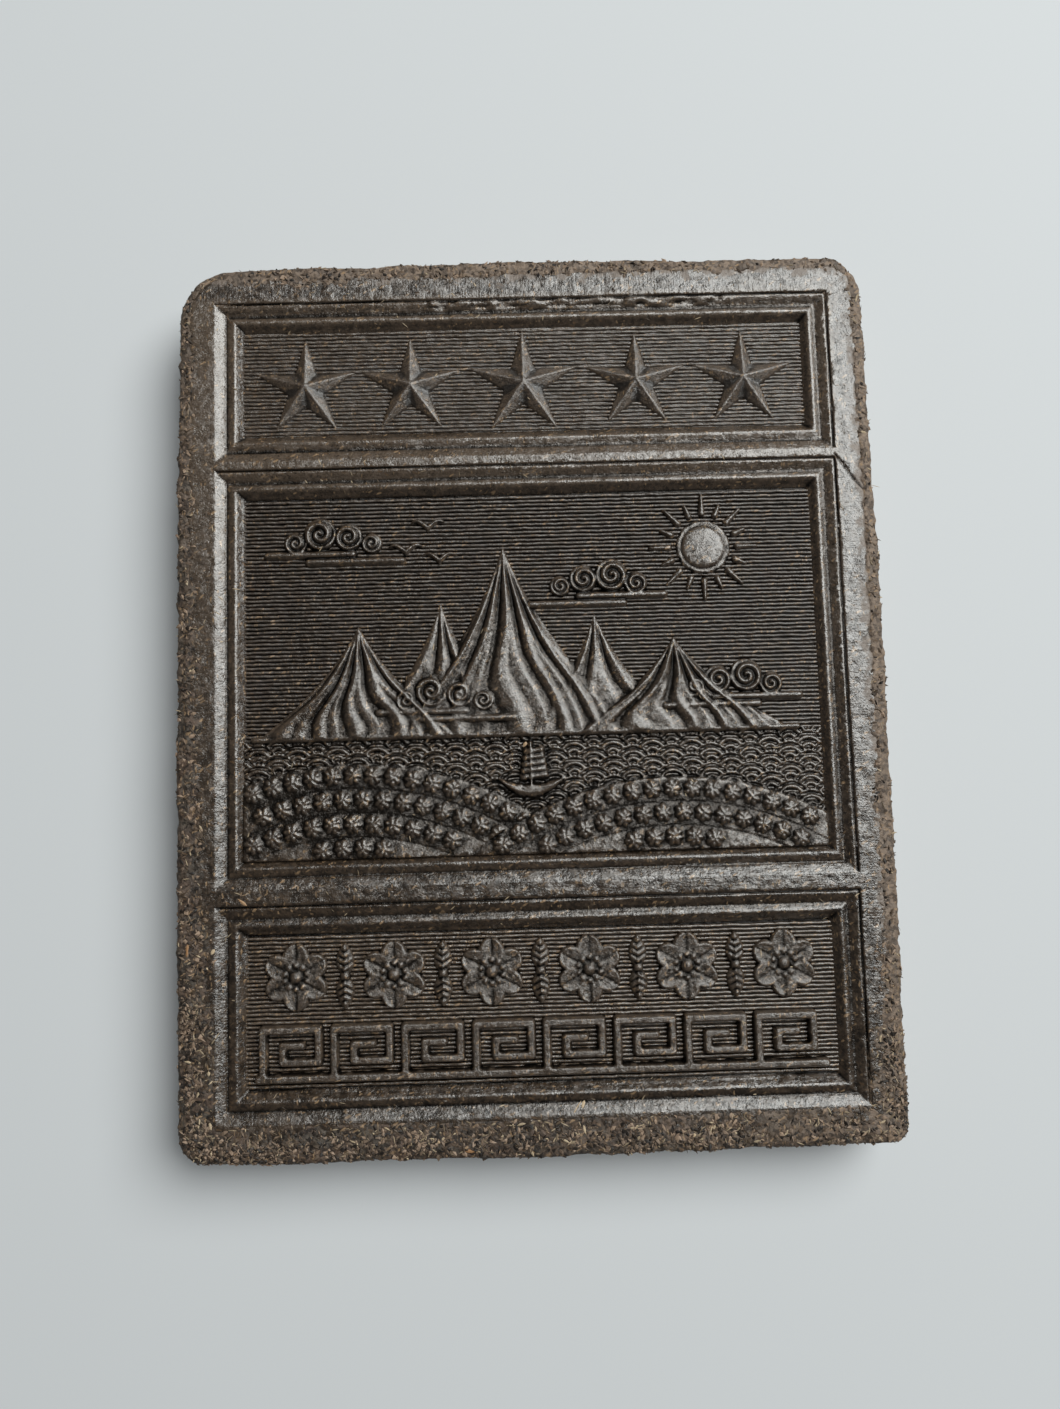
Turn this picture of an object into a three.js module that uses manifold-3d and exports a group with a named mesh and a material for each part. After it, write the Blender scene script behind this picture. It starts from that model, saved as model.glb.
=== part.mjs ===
// A pressed black tea brick: one solid slab of compacted tea with a moulded face.
// Millimetres, +Z up. The slab lies on its back with the face up and the top of the face towards +Y.
// The origin is the middle of the underside.
import * as THREE from "three";
import { mergeVertices } from "three/addons/utils/BufferGeometryUtils.js";
import Module from "manifold-3d";

const wasm = await Module();
wasm.setup();

// Driving dimensions of the slab
const BRICK = { width: 187, height: 237, thickness: 20, bulge: 0.8 };
const CORNER_RADIUS = { topLeft: 12, topRight: 10, bottomLeft: 6.5, bottomRight: 5 };
const RIM = { side: 9.65, end: 10 };
const BAR = { upper: 2.5, lower: 4.3 };
const STAR_PANEL_HEIGHT = 44.5;
const ORNAMENT_PANEL_HEIGHT = 54.9;

// Section of the crumbling edge, from the underside up: distance in from the outline, height, crag size
const EDGE_SECTION = [
  [1.8, 0, 0.4],
  [0.6, 1.7, 0.7],
  [0.3, 7.5, 0.7],
  [0.4, 14.0, 0.8],
  [1.2, 18.2, 1.0],
  [3.2, BRICK.thickness, 0.8],
];
const OUTLINE_POINTS = 120;
const CRAG_SEED = 20;

// Section of the moulding round each panel: distance in from the panel's edge, depth below the rim
const MOULDING = [
  [0, 0],
  [2.75, 1.3],
  [2.95, 1.95],
  [3.2, 1.95],
  [4.8, 0.95],
  [5.4, 0.85],
  [6.5, 1.5],
  [7.8, 2.6],
];
const [FRAME_WIDTH, GROUND_DEPTH] = MOULDING.at(-1);
const GROUND = BRICK.thickness - GROUND_DEPTH;
const ROOT = 0.6; // how far relief reaches below the ground it stands on
const CLEAR_ABOVE = 2; // how far a cutting tool reaches above the rim

// The crack across the right-hand rim
const CRACK = { from: [83, 62.6], to: [91.5, 53.5], width: 0.9, depth: 0.9 };

// Stars: their places from the left, measured from the middle of the star panel
const STAR_PLACES = [-59.4, -30.9, -0.2, 30.6, 59.8];
const STAR = { level: -1.5, radius: 14, middleRadius: 15.5, waist: 0.35, edge: 0.3, rise: 2.2 };
const STAR_CROWN = 0.02; // size of the flat at a star's middle, as a share of the star

// Mountains, lake, hills, sun and clouds, measured from the middle of the picture panel
const MOUNTAINS = [
  { apex: [-24, 19], feet: [-46, -2], pleats: 3, edge: 0.35, crest: 1.15 },
  { apex: [17, 15], feet: [-4, 40], pleats: 3, edge: 0.35, crest: 1.15 },
  { apex: [-7, 34], feet: [-38, 27], pleats: 5, edge: 0.5, crest: 1.55 },
  { apex: [-46, 13], feet: [-73, -19], pleats: 5, edge: 0.8, crest: 1.9 },
  { apex: [38, 8], feet: [11, 68], pleats: 5, edge: 0.8, crest: 1.9 },
];
const SHORE = { level: -17, from: -74, to: 70, thickness: 1.9, rise: 1.3 };
const LAKE_RISE = 0.45;
const HILLS = [
  { centre: [-48, -110], radius: 86, step: 0.8 },
  { centre: [36, -114], radius: 84.5, step: 1.1 },
];
const TERRACE = { rows: 4, spacing: 6.3, rise: 0.18, bank: 0.3, sides: 60 };
const BUSH = { radius: 2.5, spacing: 5.4, height: 0.85, root: 0.4, inset: 3.0, sides: 6 };
const SUN = { centre: [47, 32], radius: 7.5, rise: 1.5, sides: 24 };
const RAY = { count: 16, from: 9.2, long: 14.4, short: 12.2, width: 1.6, rise: 1.1 };
const CLOUD_PUFFS = [
  [-9.5, -0.4, 3.4],
  [-3.0, 1.9, 4.7],
  [4.6, 1.0, 4.0],
  [10.8, -0.8, 3.0],
];
const CLOUD_STREAKS = [
  [-17, 6, -3.6],
  [-6, 19, -5.6],
];
const CLOUD = { rise: 1.75, streakWidth: 1.9, streakRise: 1.3, sides: 10 };
// Each cloud's place, and 1 or -1 for the way that it trails
const CLOUD_PLACES = [
  [-53, 36, 1],
  [19, 23, -1],
  [-24, -7, 1],
  [54, -5, -1],
];
const BIRD = { span: 4.6, lift: 1.9, width: 1.7, edge: 0.3, rise: 1.2 };
const BIRD_PLACES = [
  [-27, 39],
  [-33, 32.5],
  [-24, 30],
];
const BOAT = { middle: [-1, -30.5], length: 17, depth: 2.6, sheer: 1.6, edge: 0.5, rise: 1.5 };
const MAST = { height: 11, width: 0.9 };
const SAIL = { width: 7.6, height: 8.4, foot: 1.2, side: 0.8, taper: 0.35, rises: [1.3, 0.9] };

// Row of blossoms and fret band, measured from the middle of the ornament panel
const BLOSSOM = { count: 6, spacing: 25.3, level: 8.8, radius: 8.6, petals: 6 };
const PETAL = { width: 7.2, rise: 1.5, tip: 0.55 };
const BOSS = { radius: 1.9, rise: 1.9 };
const LEAF = { length: 8.6, width: 5.0, rise: 1.5, tip: 0.08 };
const BUD = { radius: 1.5, rise: 1.7 };
const BLADE_EDGE = 0.35; // how high a petal's or a leaf's edge stands over the ground
const FRET = { count: 8, pitch: 18.2, low: -16.6, height: 12.2, stroke: 2.4, rise: 1.6 };
// One unit of the fret as shares of its pitch and height
const FRET_PATH = [
  [0.06, 0],
  [0.06, 1],
  [0.84, 1],
  [0.84, 0.34],
  [0.34, 0.34],
  [0.34, 0.68],
  [0.6, 0.68],
];

// Sizes worked out from the driving dimensions
const PANEL_HALF_WIDTH = BRICK.width / 2 - RIM.side;
const FACE_TOP = BRICK.height / 2 - RIM.end;
const OTHER_HEIGHTS = STAR_PANEL_HEIGHT + BAR.upper + BAR.lower + ORNAMENT_PANEL_HEIGHT;
const PICTURE_PANEL_HEIGHT = 2 * FACE_TOP - OTHER_HEIGHTS;
const STAR_PANEL = { middle: FACE_TOP - STAR_PANEL_HEIGHT / 2, halfHeight: STAR_PANEL_HEIGHT / 2 };
const PICTURE_PANEL = {
  middle: FACE_TOP - STAR_PANEL_HEIGHT - BAR.upper - PICTURE_PANEL_HEIGHT / 2,
  halfHeight: PICTURE_PANEL_HEIGHT / 2,
};
const ORNAMENT_PANEL = {
  middle: -FACE_TOP + ORNAMENT_PANEL_HEIGHT / 2,
  halfHeight: ORNAMENT_PANEL_HEIGHT / 2,
};
const PANELS = [STAR_PANEL, PICTURE_PANEL, ORNAMENT_PANEL];

// Repeatable random numbers from 0 to 1
function seededRandom(seed) {
  let state = seed;
  return () => {
    state = (state * 1664525 + 1013904223) % 4294967296;
    return state / 4294967296;
  };
}

// A geometry as a closed solid, with shared corners merged and empty triangles dropped
function solid(geometry) {
  geometry.deleteAttribute("normal");
  geometry.deleteAttribute("uv");
  const merged = mergeVertices(geometry, 1e-4);
  const corners = merged.index.array;
  const triVerts = [];
  for (let i = 0; i < corners.length; i += 3) {
    const [a, b, c] = corners.slice(i, i + 3);
    if (a !== b && b !== c && c !== a) triVerts.push(a, b, c);
  }
  const mesh = new wasm.Mesh({
    numProp: 3,
    vertProperties: merged.attributes.position.array,
    triVerts: new Uint32Array(triVerts),
  });
  return new wasm.Manifold(mesh);
}

function indexedGeometry(points, index) {
  const geometry = new THREE.BufferGeometry();
  geometry.setAttribute("position", new THREE.Float32BufferAttribute(points.flat(), 3));
  return geometry.setIndex(index);
}

// Closed rings of points stacked from the bottom up, each anticlockwise from above, with both ends capped
function loft(rings) {
  const count = rings[0].length;
  const index = [];
  for (let r = 0; r + 1 < rings.length; r++) {
    for (let i = 0; i < count; i++) {
      const [a, b] = [r * count + i, r * count + ((i + 1) % count)];
      index.push(a, b, b + count, a, b + count, a + count);
    }
  }
  const cap = (ring) => THREE.ShapeUtils.triangulateShape(ring.map(([x, y]) => new THREE.Vector2(x, y)), []);
  for (const [a, b, c] of cap(rings[0])) index.push(a, c, b);
  const last = (rings.length - 1) * count;
  for (const [a, b, c] of cap(rings.at(-1))) index.push(last + a, last + b, last + c);
  return indexedGeometry(rings.flat(), index);
}

// Rows of points as a relief surface with walls down to a root.
// The first row is the lowest on the face, and each runs from left to right.
function reliefGrid(rows, root) {
  const across = rows[0].length;
  const top = rows.flat();
  const bottom = top.map(([x, y]) => [x, y, root]);
  const index = [];
  const quad = (a, b, c, d) => index.push(a, b, c, a, c, d);
  const low = (i) => i + top.length;
  for (let r = 0; r + 1 < rows.length; r++) {
    for (let c = 0; c + 1 < across; c++) {
      const a = r * across + c;
      quad(a, a + 1, a + across + 1, a + across);
      quad(low(a + across), low(a + across + 1), low(a + 1), low(a));
    }
  }
  const rim = [];
  for (let c = 0; c + 1 < across; c++) rim.push(c);
  for (let r = 0; r + 1 < rows.length; r++) rim.push(r * across + across - 1);
  for (let c = across - 1; c > 0; c--) rim.push((rows.length - 1) * across + c);
  for (let r = rows.length - 1; r > 0; r--) rim.push(r * across);
  rim.forEach((a, i) => {
    const b = rim[(i + 1) % rim.length];
    quad(low(a), low(b), b, a);
  });
  return indexedGeometry([...top, ...bottom], index);
}

// A solid of revolution about Z, from [radius, height] pairs that start and end on the axis, the lowest first
function turned(profile, sides) {
  const points = profile.map(([radius, height]) => new THREE.Vector2(radius, height));
  return new THREE.LatheGeometry(points, sides).rotateX(Math.PI / 2);
}

// A straight bar with sloping sides along the ground, from one point to another
function bar([x0, y0], [x1, y1], width, rise) {
  const length = Math.hypot(x1 - x0, y1 - y0);
  const foot = width / 2;
  const head = width / 3;
  const ring = (half, z) => [
    [-half, -half, z],
    [length + half, -half, z],
    [length + half, half, z],
    [-half, half, z],
  ];
  const rings = [ring(foot, GROUND - ROOT), ring(foot, GROUND + rise / 3), ring(head, GROUND + rise)];
  return loft(rings).rotateZ(Math.atan2(y1 - y0, x1 - x0)).translate(x0, y0, 0);
}

// The slab: rings of crag points round a rounded rectangle whose sides swell a little
function slab() {
  const random = seededRandom(CRAG_SEED);
  const { topLeft, topRight, bottomLeft, bottomRight } = CORNER_RADIUS;
  const { width, height, bulge } = BRICK;
  const [x, y] = [width / 2 - bulge, height / 2 - bulge];
  const outline = new THREE.Shape();
  outline.moveTo(-x + bottomLeft, -y);
  outline.quadraticCurveTo(0, -y - 2 * bulge, x - bottomRight, -y);
  outline.absarc(x - bottomRight, -y + bottomRight, bottomRight, -Math.PI / 2, 0);
  outline.quadraticCurveTo(x + 2 * bulge, 0, x, y - topRight);
  outline.absarc(x - topRight, y - topRight, topRight, 0, Math.PI / 2);
  outline.quadraticCurveTo(0, y + 2 * bulge, -x + topLeft, y);
  outline.absarc(-x + topLeft, y - topLeft, topLeft, Math.PI / 2, Math.PI);
  outline.quadraticCurveTo(-x - 2 * bulge, 0, -x, -y + bottomLeft);
  outline.absarc(-x + bottomLeft, -y + bottomLeft, bottomLeft, Math.PI, 1.5 * Math.PI);
  const points = outline.getSpacedPoints(OUTLINE_POINTS).slice(0, OUTLINE_POINTS);
  const inward = points.map((_, i) => {
    const before = points.at(i - 1);
    const after = points[(i + 1) % points.length];
    return new THREE.Vector2(before.y - after.y, after.x - before.x).normalize();
  });
  const rings = EDGE_SECTION.map(([inset, z, crag]) =>
    points.map((point, i) => {
      const distance = inset + crag * (random() - 0.5);
      return [point.x + inward[i].x * distance, point.y + inward[i].y * distance, z];
    }),
  );
  return solid(loft(rings));
}

// The tool that presses one panel into the face: its moulding and flat ground, as one solid to take away
function panelTool({ middle, halfHeight }) {
  const rectangle = (inset, z) => {
    const [x, y] = [PANEL_HALF_WIDTH - inset, halfHeight - inset];
    return [
      [-x, middle - y, z],
      [x, middle - y, z],
      [x, middle + y, z],
      [-x, middle + y, z],
    ];
  };
  const rings = MOULDING.map(([inset, depth]) => rectangle(inset, BRICK.thickness - depth)).reverse();
  return solid(loft([...rings, rectangle(0, BRICK.thickness + CLEAR_ABOVE)]));
}

// A narrow wedge that opens the crack in the rim
function crackTool() {
  const { from, to, width, depth } = CRACK;
  const length = Math.hypot(to[0] - from[0], to[1] - from[1]);
  const section = new THREE.Shape([
    new THREE.Vector2(0, -depth),
    new THREE.Vector2(width, CLEAR_ABOVE),
    new THREE.Vector2(-width, CLEAR_ABOVE),
  ]);
  const wedge = new THREE.ExtrudeGeometry(section, { depth: length, bevelEnabled: false });
  wedge.rotateX(Math.PI / 2).rotateZ(Math.PI / 2 + Math.atan2(to[1] - from[1], to[0] - from[0]));
  return solid(wedge.translate(from[0], from[1], BRICK.thickness));
}

// A faceted five-pointed star that rises from the ground to one point
function star(x, y, radius) {
  const tip = (share, rise) =>
    Array.from({ length: 10 }, (_, i) => {
      const angle = Math.PI / 2 + (i * Math.PI) / 5;
      const reach = radius * share * (i % 2 ? STAR.waist : 1);
      return [x + reach * Math.cos(angle), y + reach * Math.sin(angle), GROUND + rise];
    });
  return solid(loft([tip(1, -ROOT), tip(1, STAR.edge), tip(STAR_CROWN, STAR.rise)]));
}

function starRow() {
  const middleStar = (STAR_PLACES.length - 1) / 2;
  return STAR_PLACES.map((x, i) => {
    const radius = i === middleStar ? STAR.middleRadius : STAR.radius;
    return star(x, STAR_PANEL.middle + STAR.level, radius);
  });
}

// A mountain whose flanks fall from its apex in sharp pleats
function mountain({ apex, feet, pleats, edge, crest }) {
  const columns = 2 * pleats;
  const row = (fall, spread, bend) =>
    Array.from({ length: columns + 1 }, (_, i) => {
      const onEdge = i === 0 || i === columns;
      const share = i / columns + (onEdge ? 0 : bend * Math.sin(2.4 * i));
      const left = apex[0] + (feet[0] - apex[0]) * spread;
      const right = apex[0] + (feet[1] - apex[0]) * spread;
      const rise = onEdge ? edge : i % 2 ? crest : (edge + crest) / 2.4;
      return [left + (right - left) * share, apex[1] + (SHORE.level - apex[1]) * fall, GROUND + rise];
    });
  const rows = [row(1, 1, 0), row(0.5, 0.42, 0.035), row(0, 0.012, 0)];
  return solid(reliefGrid(rows, GROUND - ROOT).translate(0, PICTURE_PANEL.middle, 0));
}

// The part of the picture panel's ground that stepped hills may cover
function pictureGround() {
  const half = PANEL_HALF_WIDTH - FRAME_WIDTH;
  const halfUp = PICTURE_PANEL.halfHeight - FRAME_WIDTH;
  const box = new THREE.BoxGeometry(2 * half, 2 * halfUp, 2 * BRICK.thickness);
  return solid(box.translate(0, PICTURE_PANEL.middle, BRICK.thickness));
}

// Terraces of one hill as stacked discs, each smaller and higher than the last, cut off at the ground's edge
function terraces({ centre, radius, step }) {
  const discs = Array.from({ length: TERRACE.rows }, (_, row) => {
    const reach = radius - row * TERRACE.spacing;
    const height = ROOT + step + row * TERRACE.rise;
    const disc = new THREE.CylinderGeometry(reach - TERRACE.bank, reach, height, TERRACE.sides);
    const upright = disc.rotateX(Math.PI / 2);
    return solid(upright.translate(centre[0], PICTURE_PANEL.middle + centre[1], GROUND - ROOT + height / 2));
  });
  return wasm.Manifold.union(discs).intersect(pictureGround());
}

function onHill(u, v, { centre, radius }, margin) {
  return Math.hypot(u - centre[0], v - centre[1]) < radius + margin;
}

// Rows of tea bushes along the terraces, apart from those that a nearer hill hides
function bushes() {
  const { radius, height, sides } = BUSH;
  const halfWidth = PANEL_HALF_WIDTH - FRAME_WIDTH - radius;
  const lowest = -(PICTURE_PANEL.halfHeight - FRAME_WIDTH) + radius;
  const made = [];
  HILLS.forEach((hill, h) => {
    for (let row = 0; row < TERRACE.rows; row++) {
      const reach = hill.radius - BUSH.inset - row * TERRACE.spacing;
      const level = GROUND + hill.step + row * TERRACE.rise;
      const turn = BUSH.spacing / reach;
      const most = Math.floor(Math.PI / 2 / turn);
      for (let i = -most; i <= most; i++) {
        const angle = Math.PI / 2 - (i + (row % 2) / 2) * turn;
        const u = hill.centre[0] + reach * Math.cos(angle);
        const v = hill.centre[1] + reach * Math.sin(angle);
        const hidden = HILLS.slice(h + 1).some((nearer) => onHill(u, v, nearer, radius + BUSH.root));
        if (Math.abs(u) > halfWidth || v < lowest || hidden) continue;
        const profile = [
          [0, -BUSH.root],
          [radius, -BUSH.root],
          [radius * 0.8, 0.7 * height],
          [0, height],
        ];
        const bush = turned(profile, sides).rotateZ(angle);
        made.push(solid(bush.translate(u, PICTURE_PANEL.middle + v, level)));
      }
    }
  });
  return made;
}

// The sun as a shallow dome with tapered rays, long and short in turn
function sun() {
  const [x, y] = [SUN.centre[0], PICTURE_PANEL.middle + SUN.centre[1]];
  const { radius, rise } = SUN;
  const profile = [
    [0, -ROOT],
    [radius, -ROOT],
    [radius, 0.5 * rise],
    [radius * 0.72, 0.85 * rise],
    [radius * 0.35, rise],
    [0, rise],
  ];
  const disc = solid(turned(profile, SUN.sides).translate(x, y, GROUND));
  const rays = Array.from({ length: RAY.count }, (_, i) => {
    const angle = (2 * Math.PI * i) / RAY.count;
    const reach = i % 2 ? RAY.short : RAY.long;
    const at = (r) => [x + r * Math.cos(angle), y + r * Math.sin(angle)];
    return solid(bar(at(RAY.from), at(reach), RAY.width, RAY.rise));
  });
  return [disc, ...rays];
}

// A cloud of curled puffs over two trailing streaks
function cloud([u, v, hand]) {
  const y = PICTURE_PANEL.middle + v;
  const { rise } = CLOUD;
  const puffs = CLOUD_PUFFS.map(([du, dv, radius]) => {
    const profile = [
      [0, -ROOT],
      [radius, -ROOT],
      [radius * 0.95, 0.65 * rise],
      [radius * 0.78, 0.95 * rise],
      [radius * 0.52, 0.6 * rise],
      [radius * 0.24, rise],
      [0, rise],
    ];
    return solid(turned(profile, CLOUD.sides).translate(u + hand * du, y + dv, GROUND));
  });
  const streaks = CLOUD_STREAKS.map(([from, to, dv]) =>
    solid(bar([u + hand * from, y + dv], [u + hand * to, y + dv], CLOUD.streakWidth, CLOUD.streakRise)),
  );
  return [...puffs, ...streaks];
}

// A bird as two wings that rise from its middle
function bird([u, v]) {
  const { span, lift, width, edge, rise } = BIRD;
  const columns = [-1, -0.5, 0, 0.5, 1];
  const row = (side) =>
    columns.map((share) => {
      const raised = lift * Math.sin(Math.abs(share) * 0.75 * Math.PI);
      const half = (width / 2) * (1.15 - Math.abs(share));
      const y = PICTURE_PANEL.middle + v + raised + side * half;
      return [u + share * span, y, GROUND + (side ? edge : rise)];
    });
  return solid(reliefGrid([row(-1), row(0), row(1)], GROUND - ROOT));
}

// A small boat with a curved hull, a mast and a battened sail
function boat() {
  const [u, v] = BOAT.middle;
  const y = PICTURE_PANEL.middle + v;
  const stations = [-1, -0.6, 0, 0.6, 1];
  const hullRow = (share, rise) =>
    stations.map((s) => {
      const sheer = BOAT.sheer * s * s;
      const draught = (BOAT.depth * (1 - s * s) + BOAT.edge) * (1 - share);
      return [u + (s * BOAT.length) / 2, y + sheer - draught, GROUND + rise];
    });
  const hullRows = [hullRow(0, BOAT.edge), hullRow(0.5, BOAT.rise), hullRow(1, 2 * BOAT.edge)];
  const hull = reliefGrid(hullRows, GROUND - ROOT);
  const mast = bar([u, y - 1], [u, y + MAST.height], MAST.width, BOAT.rise);
  const battens = [0, 0.25, 0.5, 0.75, 1];
  const sailRows = battens.map((share, i) => {
    const half = (SAIL.width / 2) * (1 - SAIL.taper * share);
    const level = y + SAIL.foot + share * SAIL.height;
    const z = GROUND + SAIL.rises[i % 2];
    return [-1, 0.15, 1].map((side) => [u + SAIL.side + side * half, level + 0.5 * side, z]);
  });
  return [solid(hull), solid(mast), solid(reliefGrid(sailRows, GROUND - ROOT))];
}

// The lake's raised bed below the shore, and the bar along the shore
function lake() {
  const half = PANEL_HALF_WIDTH - FRAME_WIDTH;
  const low = PICTURE_PANEL.middle - PICTURE_PANEL.halfHeight + FRAME_WIDTH;
  const high = PICTURE_PANEL.middle + SHORE.level;
  const bed = new THREE.BoxGeometry(2 * half, high - low, ROOT + LAKE_RISE);
  bed.translate(0, (low + high) / 2, GROUND + (LAKE_RISE - ROOT) / 2);
  return [solid(bed), solid(bar([SHORE.from, high], [SHORE.to, high], SHORE.thickness, SHORE.rise))];
}

// A pointed leaf or petal along +Y with a raised midrib, its base at the origin
function blade(length, { width, rise, tip }) {
  const shares = [0, 0.3, 0.65, 1];
  const halves = [0.2, 0.85, 1, tip];
  const rows = shares.map((share, i) => {
    const half = (width / 2) * halves[i];
    const ridge = GROUND + rise * (i === shares.length - 1 ? 0.5 : 1);
    return [
      [-half, share * length, GROUND + BLADE_EDGE],
      [0, share * length, ridge],
      [half, share * length, GROUND + BLADE_EDGE],
    ];
  });
  return reliefGrid(rows, GROUND - ROOT);
}

function dome(x, y, { radius, rise }) {
  const profile = [
    [0, -ROOT],
    [radius, -ROOT],
    [radius, 0.5 * rise],
    [radius * 0.6, 0.9 * rise],
    [0, rise],
  ];
  return solid(turned(profile, 8).translate(x, y, GROUND));
}

// A row of open blossoms with a pair of leaves between neighbours
function blossomRow() {
  const { count, spacing, radius, petals } = BLOSSOM;
  const y = ORNAMENT_PANEL.middle + BLOSSOM.level;
  const made = [];
  for (let i = 0; i < count; i++) {
    const x = (i - (count - 1) / 2) * spacing;
    for (let p = 0; p < petals; p++) {
      const petal = blade(radius, PETAL).rotateZ((2 * Math.PI * p) / petals);
      made.push(solid(petal.translate(x, y, 0)));
    }
    made.push(dome(x, y, BOSS));
    if (i + 1 === count) continue;
    const between = x + spacing / 2;
    for (const turn of [0, Math.PI]) {
      const leaf = blade(LEAF.length, LEAF).rotateZ(turn);
      made.push(solid(leaf.translate(between, y, 0)));
    }
    made.push(dome(between, y, BUD));
  }
  return made;
}

// A fret band: square spirals standing on one rail
function fretBand() {
  const { count, pitch, low, height, stroke, rise } = FRET;
  const start = (-count / 2) * pitch;
  const y = ORNAMENT_PANEL.middle + low;
  const rail = bar([start, y], [-start, y], stroke, rise);
  const made = [solid(rail)];
  for (let i = 0; i < count; i++) {
    const at = ([share, up]) => [start + (i + share) * pitch, y + up * height];
    for (let k = 0; k + 1 < FRET_PATH.length; k++) {
      made.push(solid(bar(at(FRET_PATH[k]), at(FRET_PATH[k + 1]), stroke, rise)));
    }
  }
  return made;
}

const relief = [
  ...starRow(),
  ...MOUNTAINS.map(mountain),
  ...lake(),
  ...HILLS.map(terraces),
  ...bushes(),
  ...sun(),
  ...CLOUD_PLACES.flatMap(cloud),
  ...BIRD_PLACES.map(bird),
  ...boat(),
  ...blossomRow(),
  ...fretBand(),
];
const pressed = slab().subtract(wasm.Manifold.union([...PANELS.map(panelTool), crackTool()]));
const whole = pressed.add(wasm.Manifold.union(relief));

// The finished solid as one mesh, with its bounding box centred over the origin
function brickGeometry() {
  const { vertProperties, triVerts } = whole.getMesh();
  const geometry = new THREE.BufferGeometry();
  geometry.setAttribute("position", new THREE.BufferAttribute(vertProperties, 3));
  geometry.setIndex(new THREE.BufferAttribute(triVerts, 1));
  geometry.computeBoundingBox();
  const { min, max } = geometry.boundingBox;
  geometry.translate(-(min.x + max.x) / 2, -(min.y + max.y) / 2, -min.z);
  geometry.computeVertexNormals();
  return geometry;
}

const pressedTea = new THREE.MeshStandardMaterial({ color: 0x2e2620, roughness: 0.55, metalness: 0 });
const brick = new THREE.Mesh(brickGeometry(), pressedTea);
brick.name = "tea_brick";

const part = new THREE.Group();
part.add(brick);

export default part;
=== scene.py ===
"""The looks of a pressed black tea brick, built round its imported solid.

The face is pressed in low relief: a rim, three framed panels with ribbed grounds, stars, a landscape and
an ornament. The edge crumbles, and leaf crumbs and pale fibres lie in the surface.
Sizes are in millimetres unless a name or a comment says so.
"""

import math

import bpy
import numpy as np
from mathutils import Matrix, Vector


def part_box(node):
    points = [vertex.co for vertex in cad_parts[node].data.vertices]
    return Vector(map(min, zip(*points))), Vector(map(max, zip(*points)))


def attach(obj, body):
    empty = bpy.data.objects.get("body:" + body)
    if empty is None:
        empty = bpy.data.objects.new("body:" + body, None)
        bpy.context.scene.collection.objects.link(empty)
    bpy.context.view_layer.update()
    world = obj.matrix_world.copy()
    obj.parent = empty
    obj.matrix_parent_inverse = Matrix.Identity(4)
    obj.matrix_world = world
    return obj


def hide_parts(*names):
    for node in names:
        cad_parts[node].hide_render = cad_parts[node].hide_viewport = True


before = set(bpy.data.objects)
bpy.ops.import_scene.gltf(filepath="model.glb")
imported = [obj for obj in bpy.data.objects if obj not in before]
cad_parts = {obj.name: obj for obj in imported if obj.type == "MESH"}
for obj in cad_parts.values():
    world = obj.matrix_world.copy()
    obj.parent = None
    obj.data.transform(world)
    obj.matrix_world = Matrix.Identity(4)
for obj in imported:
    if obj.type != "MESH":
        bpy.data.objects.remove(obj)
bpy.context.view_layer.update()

# The brick's own sizes, from the frame
MM = 0.001
box_low, box_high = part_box("tea_brick")
WIDTH, HEIGHT, THICKNESS = (size / MM for size in box_high - box_low)

# Outline: how far its sides swell, each corner's radius, its step, and how far in the face begins
BULGE = 0.8
CORNER_RADIUS = {(-1, 1): 14.0, (1, 1): 10.0, (-1, -1): 6.5, (1, -1): 5.0}
OUTLINE_STEP = 0.6
FACE_INSET = 1.7

# Uneven surfaces: the rise, the cell and the seed of each layer of bumps
EDGE_LUMPS = ((0.45, 11, 41), (0.4, 2.6, 42), (0.28, 1.1, 43))
RIM_WAVES = ((0.10, 16, 31), (0.05, 4.5, 32))
LAYER_RAGGED = ((0.8, 7, 48), (1.1, 3.2, 44), (1.1, 1.2, 45))
LAYER_CRUMBS = ((0.08, 1.4, 46), (0.06, 0.8, 47))

# Section of the crumbling edge as insets and heights: the back and its foot, the side, the shoulder,
# the layer over the rim, and the middle that the face covers
EDGE_BACK = ((60, 0), (40, 0), (24, 0), (12, 0), (6, 0), (3, 0), (1.9, 0))
EDGE_FOOT = ((1.2, 0.4), (0.8, 1.0), (0.65, 1.7))
EDGE_SIDE = {"from_to": (2.4, 18.3), "inset": 0.55, "lean": 0.043}
EDGE_SHOULDER = ((-0.25, 18.8), (-0.15, 19.2), (0.2, 19.55), (0.75, 19.75), (1.35, 19.87), (1.9, 19.93))
LAYER_INSETS = np.arange(2.4, 9.1, 0.55)
EDGE_MIDDLE = ((9.6, 19.0), (10.6, 16.4), (12, 16.0), (30, 16.0), (60, 16.0))
# How far in the crumbled layer reaches from each side, and the shares of that at places along the side
LAYER_REACH = {
    "left": (10.0, (-100, -30, 60), (1.0, 0.55, 0.35)),
    "right": (3.3, (-105, -70, 40, 100), (2.7, 1.5, 0.6, 1.05)),
    "bottom": (9.5, (0,), (1.0,)),
    "top": (3.4, (-70, 20), (1.4, 0.85)),
}
LAYER_LIFT = 0.14
LAYER_DIP = 0.5

# Panels
RIM_SIDE, RIM_END = 9.65, 9.8
BAR_UPPER, BAR_LOWER = 1.85, 3.9
STAR_PANEL_HEIGHT, ORNAMENT_PANEL_HEIGHT = 44.7, 55.1
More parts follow.
